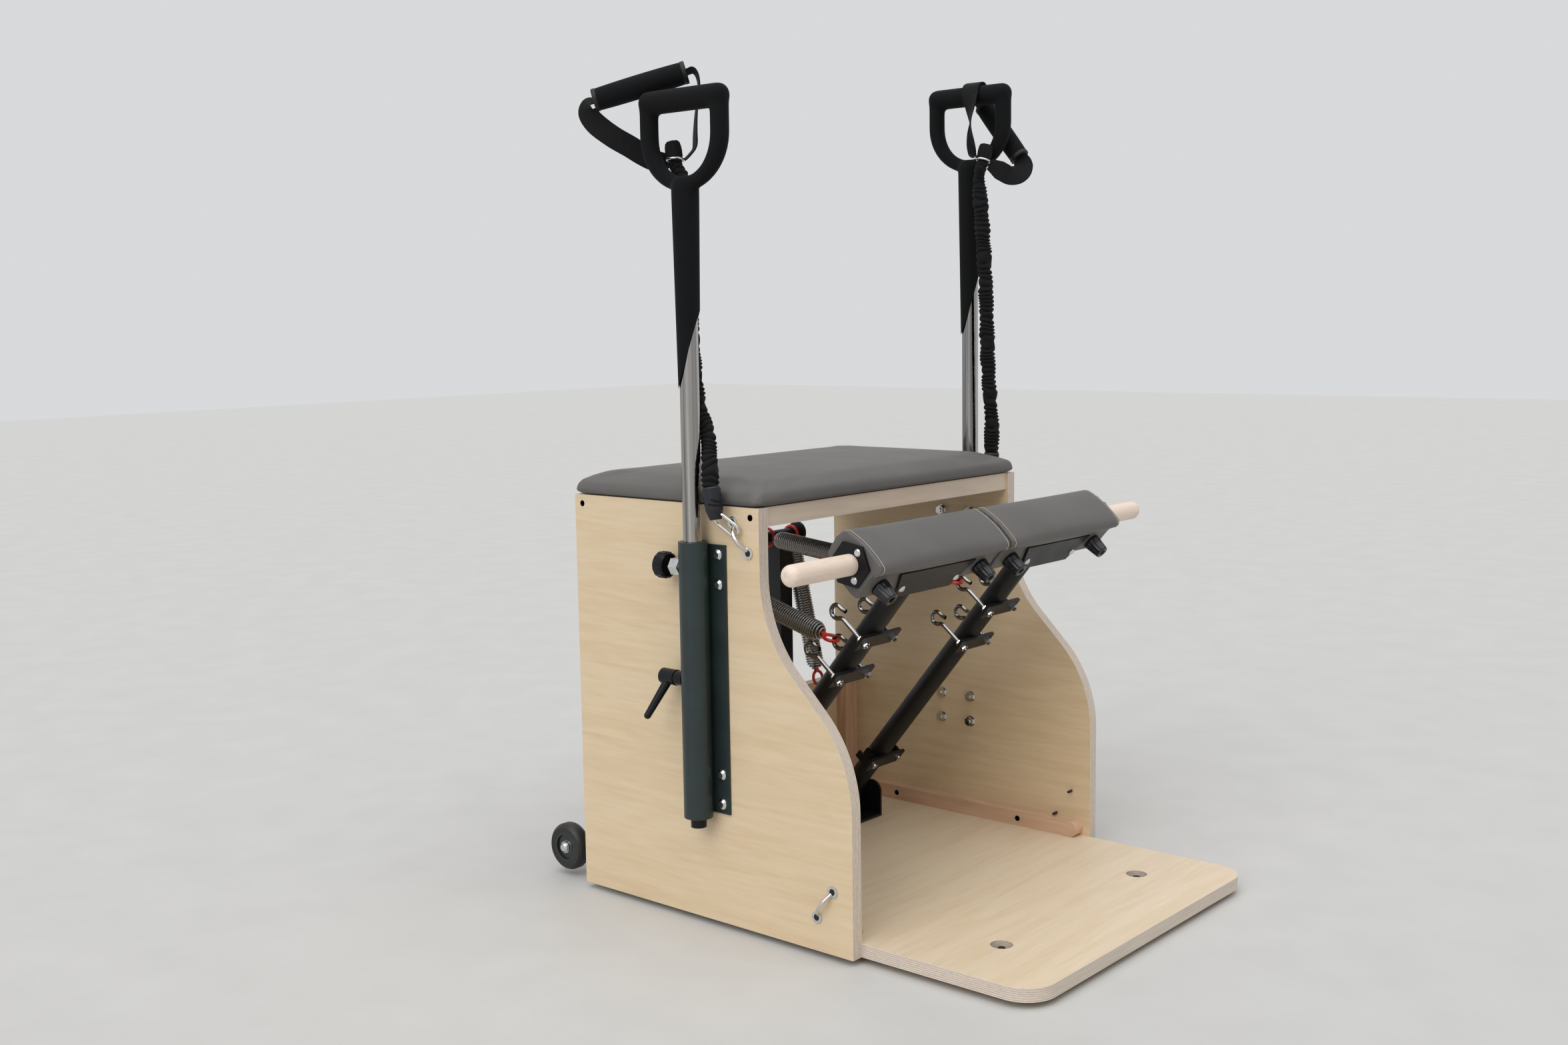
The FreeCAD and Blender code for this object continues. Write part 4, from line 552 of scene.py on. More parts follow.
WHEEL_MIDDLE, WHEEL_SCALE = (0.3985, 0.0445), 25.0
look = Finish("wheel_and_hub")
wheel_finish = look.material
squares = [look.math("POWER", look.math("SUBTRACT", spot, middle), 2.0)
           for spot, middle in zip(look.axes()[1:], WHEEL_MIDDLE)]
place = look.math("MULTIPLY", look.math("SQRT", look.math("ADD", *squares)), WHEEL_SCALE)
grit = look.noise(500, detail=3)
hub_end, tyre_start = 0.0092 * WHEEL_SCALE, 0.0219 * WHEEL_SCALE
look.vary("Base Color", place, (0.0, (0.55, 0.55, 0.54)), (hub_end, (0.50, 0.50, 0.49)),
          (hub_end + 0.008, (0.016, 0.024, 0.023)), (tyre_start, (0.014, 0.021, 0.020)),
          (tyre_start + 0.008, (0.011, 0.011, 0.012)))
look.vary("Roughness", place, (0.0, 0.25), (hub_end + 0.01, 0.3), (tyre_start, 0.3), (tyre_start + 0.02, 0.5))
look.vary("Metallic", place, (0.0, 1.0), (hub_end, 1.0), (hub_end + 0.008, 0.0))
look.bump(grit, 0.0002, 0.35)
print("black finishes ready")

# %% [markdown]
# ## Webbing and cord sleeve
# Both are woven, so their patterns follow the piece: the UV map holds metres along and across it. Webbing has
# a twill of slanted ribs with a selvedge; the sleeve is a fine plain weave, and its gathers are real geometry.

# %% Woven finishes
def woven(name, colour, pitch, slant, depth):
    """A weave from two crossed waves on the UV map; slant turns it into a twill."""
    look = Finish(name, Specular_IOR_Level=0.15, Sheen_Weight=0.04, Sheen_Roughness=0.4)
    spot = look.spot("UV")
    turned_spot = look.add("Mapping", Vector=spot, Rotation=(0, 0, slant)).outputs[0]
    warp, weft = look.add("SeparateXYZ", Vector=turned_spot).outputs[:2]
    waves = [look.math("SINE", look.math("MULTIPLY", run, 2 * math.pi / size))
             for run, size in ((warp, pitch), (weft, 1.6 * pitch))]
    rib = look.math("MULTIPLY_ADD", waves[0], 0.35, look.math("MULTIPLY_ADD", waves[1], 0.15, 0.5))
    fuzz = look.noise(2200, detail=2)
    height = look.math("MULTIPLY_ADD", fuzz, 0.3, rib)
    # The colour falls to six tenths in the low parts of the weave: painted shade in its hollows.
    look.vary("Base Color", height, (0.3, tuple(0.6 * part for part in colour)), (0.9, colour))
    look.vary("Roughness", height, (0.3, 0.85), (0.9, 0.68))
    look.bump(height, depth, 0.7)
    return look.material


webbing = woven("black_webbing", (0.0115, 0.0115, 0.0125), 0.0016, 0.6, 0.0004)
sleeve_cloth = woven("gathered_sleeve", (0.0095, 0.0095, 0.0105), 0.0009, 0.0, 0.0002)
print("woven finishes", webbing.name, sleeve_cloth.name)

# %% [markdown]
# ## Finishes on the CAD pieces
# A CAD node whose shape is right stays, and only its material slot changes. The list below gives every rigid
# node its finish; nodes that soft pieces replace later are covered as well, so none is left plain.

# %% Dress the CAD nodes
DRESS = {
    "left_side_panel": side_ply["left"], "right_side_panel": side_ply["right"], "base_board": board_ply,
    "rear_panel": rear_ply, "wood_rails": timber, "seat_cushion": vinyl, "wood_screws": screw_black,
    "socket_bolts": plated, "socket_necks": neck_finish, "spring_posts": black_coat, "pivot_brackets": black_coat,
    "axle_bolts": plated, "pad_eyes": plated, "wheel_brackets": plated, "feet": rubber, "snap_hooks": plated,
    "cord_cuffs": cuff_rubber, "dowel": beech,
}
SIDE_DRESS = {
    "pole_socket": socket_coat, "pedal_arm": black_coat, "pedal_pad": vinyl, "dowel_flange": plastic,
    "bumpers": bumper_rubber, "spring_hooks": hook_steel, "fork_clips": plastic, "pedal_fasteners": plated,
    "pole": pole_steel, "pole_plug": plastic, "d_grip": foam, "cord_ring": plated, "hand_grip": foam,
    "strap": webbing, "pull_pin": plastic, "clamp_lever": plastic, "wheel": wheel_finish, "clip_gate": plated,
    "spring": spring_steel, "spare_spring": spring_steel, "cord": sleeve_cloth,
}
DRESS.update({side + "_" + part: finish for part, finish in SIDE_DRESS.items() for side in SIDES})
for name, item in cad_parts.items():
    dress(item, DRESS[name])
print("dressed", len(DRESS), "nodes; without a finish:", sorted(set(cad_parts) - set(DRESS)))

# %% [markdown]
# ## Cords in gathered sleeves
# Each hand strap hangs on an elastic cord inside a fabric sleeve that is longer than the cord, so the cloth
# bunches into uneven rings. The line is a NURBS spline with the same corners as the CAD tube. A bevelled curve
# would be smooth; a mesh tube lets the radius swell and pinch, so the gathers catch the light.

# %% Cord lines
POLE_END = {"left": np.array([-0.328, 0.080, 0.997]), "right": np.array([0.328, 0.080, 1.057])}


def by_pole(side, places):
    """Points given in millimetres from a hand pole's end: outwards from its axis, behind it and above it."""
    return POLE_END[side] + np.array(places, float) * np.array([SIDES[side], 1, 1]) / 1000


CORD_LOW = {"left": ((-0.3260, 0.0407, 0.5847), (-0.3260, 0.0505, 0.6412)),
            "right": ((0.3260, 0.0390, 0.5848), (0.3260, 0.0345, 0.6498))}
CORD_ROUTES = {
    "left": ((-28, 26, 13), (-31, 25, -72), (-31, 24, -167), (-29, 16, -270), (-29, -8, -319)),
    "right": ((-24.5, -34.5, -15), (-20.5, -39.5, -97), (-15, -42, -207), (-9.5, -41.2, -317)),
}
CORD_CORNERS = {side: np.concatenate([CORD_LOW[side], by_pole(side, CORD_ROUTES[side])[::-1]]) for side in SIDES}


def cord_line(name, corners):
    """Points of a NURBS spline of order 3 that starts and ends on the first and last corner."""
    curve = bpy.data.curves.new(name, "CURVE")
    curve.dimensions = "3D"
    curve.resolution_u = 60
    spline = curve.splines.new("NURBS")
    spline.points.add(len(corners) - 1)
    spline.points.foreach_set("co", np.hstack([corners, np.ones((len(corners), 1))]).ravel())
    spline.order_u = 3
    spline.use_endpoint_u = True
    holder = placed(name, curve)
    line = as_mesh(holder)
    spots = spots_of(line)
    bpy.data.objects.remove(holder)
    bpy.data.curves.remove(curve)
    bpy.data.meshes.remove(line)
    return spots


print("corners of the cords:", {side: len(corners) for side, corners in CORD_CORNERS.items()})

# %% Gathered sleeves
CORD_RADIUS, FOLD_PITCH, RING_STEP = 0.010, 0.0080, 0.0008
SLIM_END = {"left": 0.8, "right": 1.06}


def gathered_sleeve(line, seed, thick=CORD_RADIUS, slim=1.0):
    """A tube whose radius rises in uneven rings: a rectified wave along the cord whose phase drifts with the length
    and round the cord, sharpened by a power so that the folds are round and the pinches narrow."""
    length = run_of(line)[-1]
    path = even(line, int(length / RING_STEP))
    s = np.linspace(0, length, len(path))[:, None]
    angle = angles(40)
    drift = 1.6 * np.sin(s * 61 + seed) + 1.1 * np.sin(s * 143 + 2.1 * seed) + 0.7 * np.sin(s * 29)
    tilt = 1.25 * np.sin(angle + 3 * np.sin(s * 47 + seed)) + 0.5 * np.sin(2 * angle - s * 90)
    phase = np.pi * s / FOLD_PITCH + drift + tilt
    fold = np.abs(np.sin(phase)) ** 0.6
    bunch = 0.5 + 0.5 * np.sin(s * 118 + 2.5 * seed + 1.4 * np.sin(s * 33) + 0.8 * np.sin(angle - 20 * s))
    full = 1 + 0.035 * np.sin(3 * angle + s * 170 + seed) + 0.03 * np.sin(s * 37)
    radius = thick * (0.71 + 0.35 * fold + 0.14 * bunch) * full * np.linspace(1.06, slim, len(path))[:, None]
    ends = np.clip(np.minimum(s, length - s) / 0.006, 0, 1)
    radius = radius * ends + 0.88 * thick * (1 - ends)
    return path, sweep(path, circle(40)[None] * radius[..., None], ACROSS)


cords = {}
for side, sign in SIDES.items():
    line = cord_line(side + "_line", CORD_CORNERS[side])
    path, grid = gathered_sleeve(line, seed=1.3 + sign, slim=SLIM_END[side])
    cord = show(lay(side + "_gathered_cord", grid, sleeve_cloth))
    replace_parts(cord, side + "_cord")
    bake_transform(cord)
    cords[side] = path

# %% [markdown]
# ## Springs
# The springs are wound close, a little over one wire's width from turn to turn, and taper into a loop at each end.
# The loops are dipped in red. A screw modifier could wind them, but a helix with a formula for its radius
# gives the tapered ends, and a working spring is one mesh from the frame to the pedal.

# %% Coils and loops
COIL_RADIUS, COIL_PITCH, WIRE = 0.013, 0.0041, 0.0018
END_SHARE, EASE_TURNS = 0.28, 3.5


def wound(start, stop):
    """A wire along a helix: the angle grows with the distance along the axis, and the radius eases from about a
    quarter to the full coil radius within some turns of either end."""
    gap = stop - start
    up = np.cross(unit(gap), ACROSS)
    turns = round(np.linalg.norm(gap) / COIL_PITCH)
    t = np.linspace(0, 1, turns * 22 + 1)[:, None]
    near = np.clip(np.minimum(t, 1 - t) * turns / EASE_TURNS, 0, 1)
    radius = COIL_RADIUS * (END_SHARE + (1 - END_SHARE) * np.sin(near * np.pi / 2) ** 0.8)
    angle = 2 * np.pi * turns * t
    outward = ACROSS * np.cos(angle) + up * np.sin(angle)
    return sweep(start + gap * t + outward * radius, circle(7) * WIRE, outward)


def loop(centre, normal, mean, wire):
    """A ring: a small circle carried once round a large one, with its first row repeated so that it meets itself."""
    normal = unit(normal)
    side = unit(np.cross(normal, [0.3, 0.5, 0.81]))
    up = np.cross(normal, side)
    angle = angles(56)[:, None]
    outward = side * np.cos(angle) + up * np.sin(angle)
    small = circle(12)
    grid = centre + outward[:, None] * (mean + wire * small[:, :1]) + normal * (wire * small[:, 1:])
    return np.concatenate([grid, grid[:1]])


print("coil of", 2 * COIL_RADIUS, "m, one turn each", COIL_PITCH, "m")

# %% Wind the springs
BAR_Y, BAR_Z = 0.342, 0.479
BAR_LOOP, FAR_LOOP, LOOP_WIRE = 0.0145, 0.0115, 0.0025
# From what a loop hangs on to the loop's middle, and from there to the coil's end
BAR_REST, FAR_REST, BAR_NECK, FAR_NECK = 0.0027, 0.0145, 0.0225, 0.0195
# How deep the coil is tucked into its necks, and the necks into their loops
TUCK, NECK_SINK = 0.004, 0.001
NECK = [(0.0036, 0), (0.0042, 0.001), (0.0042, 0.008), (0.0034, 0.0095)]
FAR_END = {"left_spring": (-0.119, -0.00107, 0.38039), "right_spring": (0.119, -0.04774, 0.43782)}
for side, sign in SIDES.items():
    FAR_END[side + "_spare_spring"] = (0.181 * sign, BAR_Y - 0.0586, BAR_Z - 0.254)
for name, far in FAR_END.items():
    bar, far = np.array([far[0], BAR_Y, BAR_Z]), np.array(far)
    away = unit(far - bar)
    bar_ring, far_ring = bar + away * BAR_REST, far - away * FAR_REST
    start, stop = bar_ring + away * BAR_NECK, far_ring - away * FAR_NECK
    rings = [loop(bar_ring, ACROSS, BAR_LOOP, LOOP_WIRE),
             loop(far_ring, np.cross(away, ACROSS), FAR_LOOP, LOOP_WIRE)]
    necks = [turned(NECK, bar_ring + away * (BAR_LOOP - NECK_SINK), away),
             turned(NECK, far_ring - away * (FAR_LOOP - NECK_SINK), -away)]
    spring = lay(name + "_coil", wound(start - away * TUCK, stop + away * TUCK), spring_steel)
    hoops = lay(name + "_hoops", rings, red_dip, caps=False)
    plugs = lay(name + "_necks", necks, red_dip)
    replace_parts(spring, name)
    for piece in (spring, hoops, plugs):
        show(piece)
        if "spare" in name:
            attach(piece, "frame")
        else:
            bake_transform(piece)

# %% [markdown]
# ## Plumping soft pieces
# Upholstery is cloth pulled over foam. Each cushion starts a little small, is remeshed evenly, and is then blown
# up by cloth pressure with its fixed faces pinned. A cap keeps every point within a few millimetres, so that the
# result stays in its place. Sculpting could do the same, but the simulation finds the soft curves by itself.

# %% Modifier helpers
def settle(piece, *modifiers):
    """Apply the stated modifiers, each a (kind, settings) pair."""
    for kind, settings in modifiers:
        item = piece.modifiers.new(kind.lower(), kind)
        for key, value in settings.items():
            setattr(item, key, value)
    done = as_mesh(piece)
    piece.modifiers.clear()
    old = piece.data
    piece.data = done
    bpy.data.meshes.remove(old)


def evenly(voxel):
    """A remesh modifier with cells of this size."""
    return "REMESH", {"mode": "VOXEL", "voxel_size": voxel, "use_smooth_shade": True}


def place_spots(piece, spots):
    """Move a piece's vertices to these places."""
    piece.data.vertices.foreach_set("co", np.asarray(spots, np.float32).ravel())
    piece.data.update()


print("modifier helpers ready")

# %% Cloth helper
PRESSURE, STEPS = 4.0, 20


def plump(piece, voxel, held, cap, rounds):
    """Remesh, blow up with pressure while the held points stay, cap each point's way, then subdivide once."""
    settle(piece, evenly(voxel))
    rest = spots_of(piece.data)
    pins = piece.vertex_groups.new(name="held")
    pins.add(np.flatnonzero(held(rest)).tolist(), 1.0, "REPLACE")
    cloth = piece.modifiers.new("cloth", "CLOTH")
    cloth.settings.vertex_group_mass = "held"
    cloth.settings.use_pressure = True
    cloth.settings.uniform_pressure_force = PRESSURE
    cloth.settings.quality = 5
    cloth.settings.effector_weights.gravity = 0
    for step in range(1, STEPS + 1):
        scene.frame_set(step)
    blown = as_mesh(piece)
    way = spots_of(blown) - rest
    size = np.linalg.norm(way, axis=-1, keepdims=True)
    place_spots(piece, rest + way * np.minimum(1, cap / np.maximum(size, 1e-9)))
    print(piece.name, "moved up to %.1f mm, mean %.1f mm" % (1000 * size.max(), 1000 * size.mean()))
    piece.modifiers.clear()
    piece.vertex_groups.clear()
    bpy.data.meshes.remove(blown)
    scene.frame_set(1)
    settle(piece, ("SMOOTH", {"factor": 0.5, "iterations": rounds}),
           ("SUBSURF", {"levels": 1, "render_levels": 1}))
    piece.data.shade_smooth()


print("cloth helper ready")

# %% [markdown]
# ## Seat cushion
# A board with foam, covered in vinyl that is pulled down over the edge and stapled underneath. In plan it is a
# rectangle with round corners. Its edge stands up a short way, then slopes to the crowned top.

# %% Seat
SEAT_LOW, SEAT_HIGH = (np.array(corner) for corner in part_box("seat_cushion"))
SEAT_SMALLER, SEAT_CORNER, SEAT_PINNED = 0.002, 0.015, 0.006


def seat_form():
    """Rings from the middle of the bottom, out to the edge, up the side and over the top to its middle. Each ring
    is a rectangle with round corners: four quarter circles, with straight sides in the gaps between them."""
    angle = np.linspace(0, np.pi / 2, 12) + np.pi / 2 * np.arange(4)[:, None]
    quarter = np.stack([np.cos(angle), np.sin(angle)], -1)
    corner = np.array([(1, 1), (-1, 1), (-1, -1), (1, -1)])[:, None]
    half = (SEAT_HIGH - SEAT_LOW)[:2] / 2 - SEAT_SMALLER
    inset = np.array([0.12, 0.06, 0.016, 0.004, 0.001, 0.0, 0.0015, 0.007, 0.018, 0.034, 0.06, 0.1, 0.15])
    height = np.array([0, 0, 0, 0.002, 0.006, 0.012, 0.0175, 0.0225, 0.0265, 0.0295, 0.0315, 0.0335, 0.035])
    ring = corner * (half - inset[:, None] - SEAT_CORNER)[:, None, None] + SEAT_CORNER * quarter
    ring = ring.reshape(len(inset), -1, 2) + (SEAT_LOW + SEAT_HIGH)[:2] / 2
    return np.concatenate([ring, np.broadcast_to(SEAT_LOW[2] + height[:, None, None], ring.shape[:2] + (1,))], -1)


seat = lay("seat_upholstery", seat_form(), vinyl)
plump(seat, voxel=0.0048, held=lambda spots: spots[:, 2] < SEAT_LOW[2] + SEAT_PINNED, cap=0.0035, rounds=2)
dress(seat, vinyl)
spots = spots_of(seat.data)
spots[:, 2] = np.maximum(spots[:, 2], SEAT_LOW[2])
place_spots(seat, spots)
show(seat)
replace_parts(seat, "seat_cushion")
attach(seat, "frame")

# %% [markdown]
# ## Pedal pads
# Each pad is a padded block with a stepped front that laps over the steel plate. Its end panels are sewn on with
# a cream top stitch a few millimetres in from the edge. The section is the CAD one, drawn a little small, and
# carried along X; cloth pressure fills it out.

# %% Pad section
def arc(start, through_spot, stop, count):
    """Points on the circle through three points, from the first towards the last. As complex numbers, the circle's
    middle follows from the ratio of the two chords that leave the first point."""
    one, two, three = (complex(*spot) for spot in (start, through_spot, stop))
    ratio = (three - one) / (two - one)
    centre = one + (two - one) * (ratio - abs(ratio) ** 2) / (2j * ratio.imag)
    first, middle, last = np.angle([spot - centre for spot in (one, two, three)])
    turn = (last - first) % (2 * np.pi)
    if (middle - first) % (2 * np.pi) > turn:
        turn -= 2 * np.pi
    spots = centre + abs(one - centre) * np.exp(1j * (first + turn * np.linspace(0, 1, count, endpoint=False)))
    return np.stack([spots.real, spots.imag], -1)


def straight(start, stop, count=8):
    """Points on a straight line, without its last."""
    t = np.linspace(0, 1, count, endpoint=False)[:, None]
    return np.asarray(start) * (1 - t) + np.asarray(stop) * t


def pad_outline(swell):
    """Section of a pad in millimetres: back from the arm's axis, and up from the pivot."""
    foot, notch, lip, front = (-27, 566), (-27, 605.4), (-36, 617.2), (-33, 629)
    back, side_spot, heel = (41, 628), (48, 598), (24, 566)
    return np.concatenate([
        straight(foot, notch), straight(notch, lip, 4), arc(lip, (-36.3, 624.9), front, 6),
        arc(front, (6, 631 + 4 * swell), back, 24), arc(back, (47, 617.2), side_spot, 10),
        arc(side_spot, (42, 576.2), heel, 12), straight(heel, foot, 12)])


print("pad section of", len(pad_outline(1)), "points")

# %% Pads in place
LEAN = math.radians(39.1)
COS, SIN = math.cos(LEAN), math.sin(LEAN)
PIVOT, PEDAL_X = np.array([0.206, 0.059]), 0.15
PAD_HALF, DOWEL_SPOT = 0.147, np.array([0.006, 0.598])
# The section is drawn in by these shares, but not at its foot and where it lies on the steel plate
PAD_SHRINK, END_IN = np.array([0.968, 0.962]), 0.0005
FOOT_TOP, STEEL_BACK, STEEL_TOP, STEEL_FACE = 0.5662, -0.0265, 0.606, -0.0268


def on_pedal(sign, x, back, up):
    """A point given along the pedal's own axes, in metres, put in its place."""
    return np.stack([sign * PEDAL_X + x, PIVOT[0] + back * COS - up * SIN,
                     PIVOT[1] + back * SIN + up * COS], -1)


def to_pedal(sign, spots):
    """The same point along the pedal's own axes."""
    y, z = spots[..., 1] - PIVOT[0], spots[..., 2] - PIVOT[1]
    return np.stack([spots[..., 0] - sign * PEDAL_X, y * COS + z * SIN,
                     z * COS - y * SIN], -1)


def pad_form(sign):
    """The section, drawn in towards the dowel except where it lies on steel, repeated along X with less swell at
    the ends."""
    share = np.array([-1, -0.985, -0.9, -0.6, -0.3, 0, 0.3, 0.6, 0.9, 0.985, 1])
    outlines = np.stack([pad_outline(1 - 0.6 * abs(part) ** 3) for part in share]) / 1000
    small = DOWEL_SPOT + (outlines - DOWEL_SPOT) * PAD_SHRINK
    back, up = outlines[..., 0], outlines[..., 1]
    small[..., 1] = np.where(up < FOOT_TOP, up, small[..., 1])
    small[..., 0] = np.where((back < STEEL_BACK) & (up < STEEL_TOP), STEEL_FACE, small[..., 0])
    x = np.broadcast_to(share[:, None] * (PAD_HALF - END_IN), small.shape[:2])
    return on_pedal(sign, x, small[..., 0], small[..., 1])


print("pad form of", pad_form(1).shape[:2], "points")

# %% Sewn pads
SEAM_IN, GROOVE_DEEP, GROOVE_WIDE, GROOVE_FOOT = 0.0055, 0.0011, 0.0014, 0.575
PIN_ENDS, PIN_UNDER, PIN_FACE, PIN_TOP = 0.004, 0.570, -0.0245, 0.604
TUNNEL = 0.0143


def pinned_pad(sign):
    """A test for the points that stay: the end panels, the underside and the face on the steel plate."""
    def held(spots):
        x, back, up = to_pedal(sign, spots).T
        return (np.abs(x) > PAD_HALF - PIN_ENDS) | (up < PIN_UNDER) | ((back < PIN_FACE) & (up < PIN_TOP))
    return held


def sew_groove(piece, sign):
    """Draw the cover in along both end seams: a bell curve of depth by the distance from the seam line, only where
    the surface is not an end panel."""
    spots, normals = spots_of(piece.data), spots_of(piece.data, "normal")
    x, back, up = to_pedal(sign, spots).T
    near = np.exp(-((np.abs(x) - (PAD_HALF - SEAM_IN)) / GROOVE_WIDE) ** 2)
    near = near * (np.abs(normals[:, 0]) < 0.5) * (up > GROOVE_FOOT)
    place_spots(piece, spots - normals * (GROOVE_DEEP * near)[:, None])


def tunnel(sign):
    """A rod through a pad for the dowel to run in."""
    start, stop = on_pedal(sign, np.array([-0.2, 0.2]), *np.repeat(DOWEL_SPOT[:, None], 2, axis=1))
    return lay("tunnel", turned([(TUNNEL, 0), (TUNNEL, 0.4)], start, stop - start), vinyl)


pads = {}
for side, sign in SIDES.items():
    pad = lay(side + "_pad_upholstery", pad_form(sign), vinyl)
    plump(pad, voxel=0.0040, held=pinned_pad(sign), cap=0.0028, rounds=1)
    sew_groove(pad, sign)
    rod = tunnel(sign)
    settle(pad, ("BOOLEAN", {"operation": "DIFFERENCE", "solver": "EXACT", "object": rod}))
    bpy.data.objects.remove(rod)
    dress(pad, vinyl)
    pads[side] = show(pad)
    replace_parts(pad, side + "_pedal_pad")
    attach(pad, side + "_pedal")

# %% [markdown]
# The stitches are little grains of thread, each lying along the seam line in the groove. They are real geometry,
# found by dropping the seam's points on to the finished pad.

# %% Stitches
LIP, HEEL = 9, 58
STITCH_OUT = 0.0002


def grain_of_thread(length, thick):
    """A stitch: an ellipsoid drawn out along its first axis, as rows of rings."""
    lat = np.linspace(-1, 1, 6)[:, None] * np.pi / 2
    rings = circle(6) * thick * np.cos(lat)[..., None]
    return np.concatenate([np.broadcast_to(np.sin(lat)[..., None] * length / 2, (6, 6, 1)), rings], -1)


def seam_line(sign, where, count):
    """Evenly spaced points along the section from the front lip over the top and down the back, at one X."""
    run = pad_outline(0.5)[LIP:HEEL] / 1000
    return even(on_pedal(sign, np.full(len(run), where), run[:, 0], run[:, 1]), count)


stitch = grain_of_thread(length=0.0034, thick=0.00055)
for side, sign in SIDES.items():
    cover = BVHTree.FromObject(pads[side], bpy.context.evaluated_depsgraph_get())
    grids = []
    for way in (-1, 1):
        line = seam_line(sign, way * (PAD_HALF - SEAM_IN), count=46)
        for spot, along in zip(line, heading_of(line)):
            place, normal = map(np.array, cover.find_nearest(Vector(spot))[:2])
            along = unit(along - normal * (along @ normal))
            basis = np.stack([along, normal, np.cross(along, normal)])
            grids.append(place + normal * STITCH_OUT + stitch @ basis)
    stitches = show(lay(side + "_pad_stitches", grids, thread))
    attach(stitches, side + "_pedal")

# %% [markdown]
# ## Foam grips
# The D grip is one moulded foam piece: a bar to hold, two legs that meet in a bow, and a sleeve over the pole that
# ends in a slant. Two turned pieces and a sweep are joined by a fine remesh, and rounds of smoothing make the fillets
# that a mould would leave. The slanted end is cut afterwards, so it stays crisp.

# %% Grip shapes
GRIP_BAR, GRIP_LEG_TUBE, GRIP_HALF, GRIP_LEG, GRIP_WIDE = 0.0158, 0.0128, 0.0635, 0.045, 0.0768
GRIP_SLIMMER = 0.0026
SLEEVE_LONG, SLANT_UP, SLANT = 0.252, 0.05, (-0.6233, 0.7272, 0.2873)
SLEEVE = [(0.0149, -0.012), (0.0168, 0.12), (0.0187, 0.252), (0.0187, 0.265), (0.0162, 0.273), (0.0110, 0.278)]


def grip_hoop(x, y, top):
    """Legs and bow: a circle carried down one leg, round half a circle and up the other, thinner towards its foot."""
    low = top + GRIP_HALF + GRIP_BAR
    bow = np.linspace(np.pi, 2 * np.pi, 60)
    across = np.concatenate([[-GRIP_HALF], GRIP_HALF * np.cos(bow), [GRIP_HALF]])
    rise = np.concatenate([[GRIP_LEG], GRIP_HALF * np.sin(bow), [GRIP_LEG]])
    line = even(np.stack([np.full(len(across), x), y + across, low + rise], -1), 120)
    drop = np.clip((low - line[:, 2]) / GRIP_HALF, 0, 1)
    radius = GRIP_LEG_TUBE - GRIP_SLIMMER * drop ** 2
    return sweep(line, circle(28) * radius[:, None, None], ACROSS)


def grip_bar(x, y, top):
    """The bar: a rod along Y with rounded ends."""
    turn = np.linspace(0.35, np.pi / 2, 8)
    rounding = GRIP_BAR * np.stack([np.sin(turn), 0.85 * (1 - np.cos(turn))], -1)
    far = rounding[::-1] * [1, -1] + [0, 2 * GRIP_WIDE]
    foot = (x, y - GRIP_WIDE, top + GRIP_HALF + GRIP_BAR + GRIP_LEG)
    return turned(np.concatenate([rounding, far]), foot, (0, 1, 0))


print("grip of", 2 * GRIP_WIDE, "m")

# %% D grips
def slanted_end(piece, spot, normal):
    """Cut the piece with a plane, keep the side the normal points to, and close the cut."""
    shape = bmesh.new()
    shape.from_mesh(piece.data)
    every = shape.verts[:] + shape.edges[:] + shape.faces[:]
    made = bmesh.ops.bisect_plane(shape, geom=every, dist=1e-6, plane_co=spot, plane_no=normal, clear_inner=True)
    rim = [item for item in made["geom_cut"] if isinstance(item, bmesh.types.BMEdge)]
    bmesh.ops.holes_fill(shape, edges=rim, sides=0)
    shape.to_mesh(piece.data)
    shape.free()


for side in SIDES:
    x, y, top = POLE_END[side]
    foot = np.array([x, y, top - SLEEVE_LONG])
    sleeve = turned(SLEEVE, foot, (0, 0, 1))
    grip = lay(side + "_foam_d_grip", [sleeve, grip_hoop(x, y, top), grip_bar(x, y, top)], foam)
    settle(grip, evenly(0.0022), ("SMOOTH", {"factor": 0.5, "iterations": 30}))
    slanted_end(grip, foot + (0, 0, SLANT_UP), SLANT)
    dress(grip, foam)
    show(grip)
    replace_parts(grip, side + "_d_grip")
    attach(grip, side + "_hand_pole")

# %% [markdown]
# A hand grip is a foam tube with a cap at each end. It is turned, like a handle on a lathe: the foam swells a
# little in the middle, and the caps stand out a hair and are open where the strap goes in.

# %% Hand grips
GRIP_ENDS = {"left": by_pole("left", ((31, 135.8, 132.5), (-49, 39.8, 167.5))),
             "right": by_pole("right", ((33, -4.4, 112.4), (34, -72.7, 26)))}
GRIP_ROUND, GRIP_SWELL, CAP_LONG = 0.0147, 0.0011, 0.005
CAP_RIM = [(0.0090, 0.006), (0.0093, 0.001), (0.0105, 0.0), (0.0147, 0.0), (0.0154, 0.0007), (0.0154, 0.0050),
           (0.0146, 0.006)]
for side in SIDES:
    start, stop = GRIP_ENDS[side]
    axis = unit(stop - start)
    h = np.linspace(0, 1, 40)[:, None]
    barrel = GRIP_ROUND + GRIP_SWELL * np.sin(np.pi * h) ** 0.7
    height = CAP_LONG + h * (np.linalg.norm(stop - start) - 2 * CAP_LONG)
    handle = lay(side + "_foam_hand_grip", turned(np.hstack([barrel, height]), start, axis), foam)
    caps = lay(side + "_grip_caps", [turned(CAP_RIM, start, axis), turned(CAP_RIM, stop, -axis)], rubber)
    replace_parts(show(handle), side + "_hand_grip")
    for piece in (handle, caps):
        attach(piece, side + "_hand_pole")

# %% [markdown]
# ## Rings and knots
# The sleeve's gathered end goes up through a small plated ring and is tied off above it, so that the ring cannot
# slip off. The knot is a turned bud with gathers in it; the neck below it is the cord's sleeve, drawn thinner.

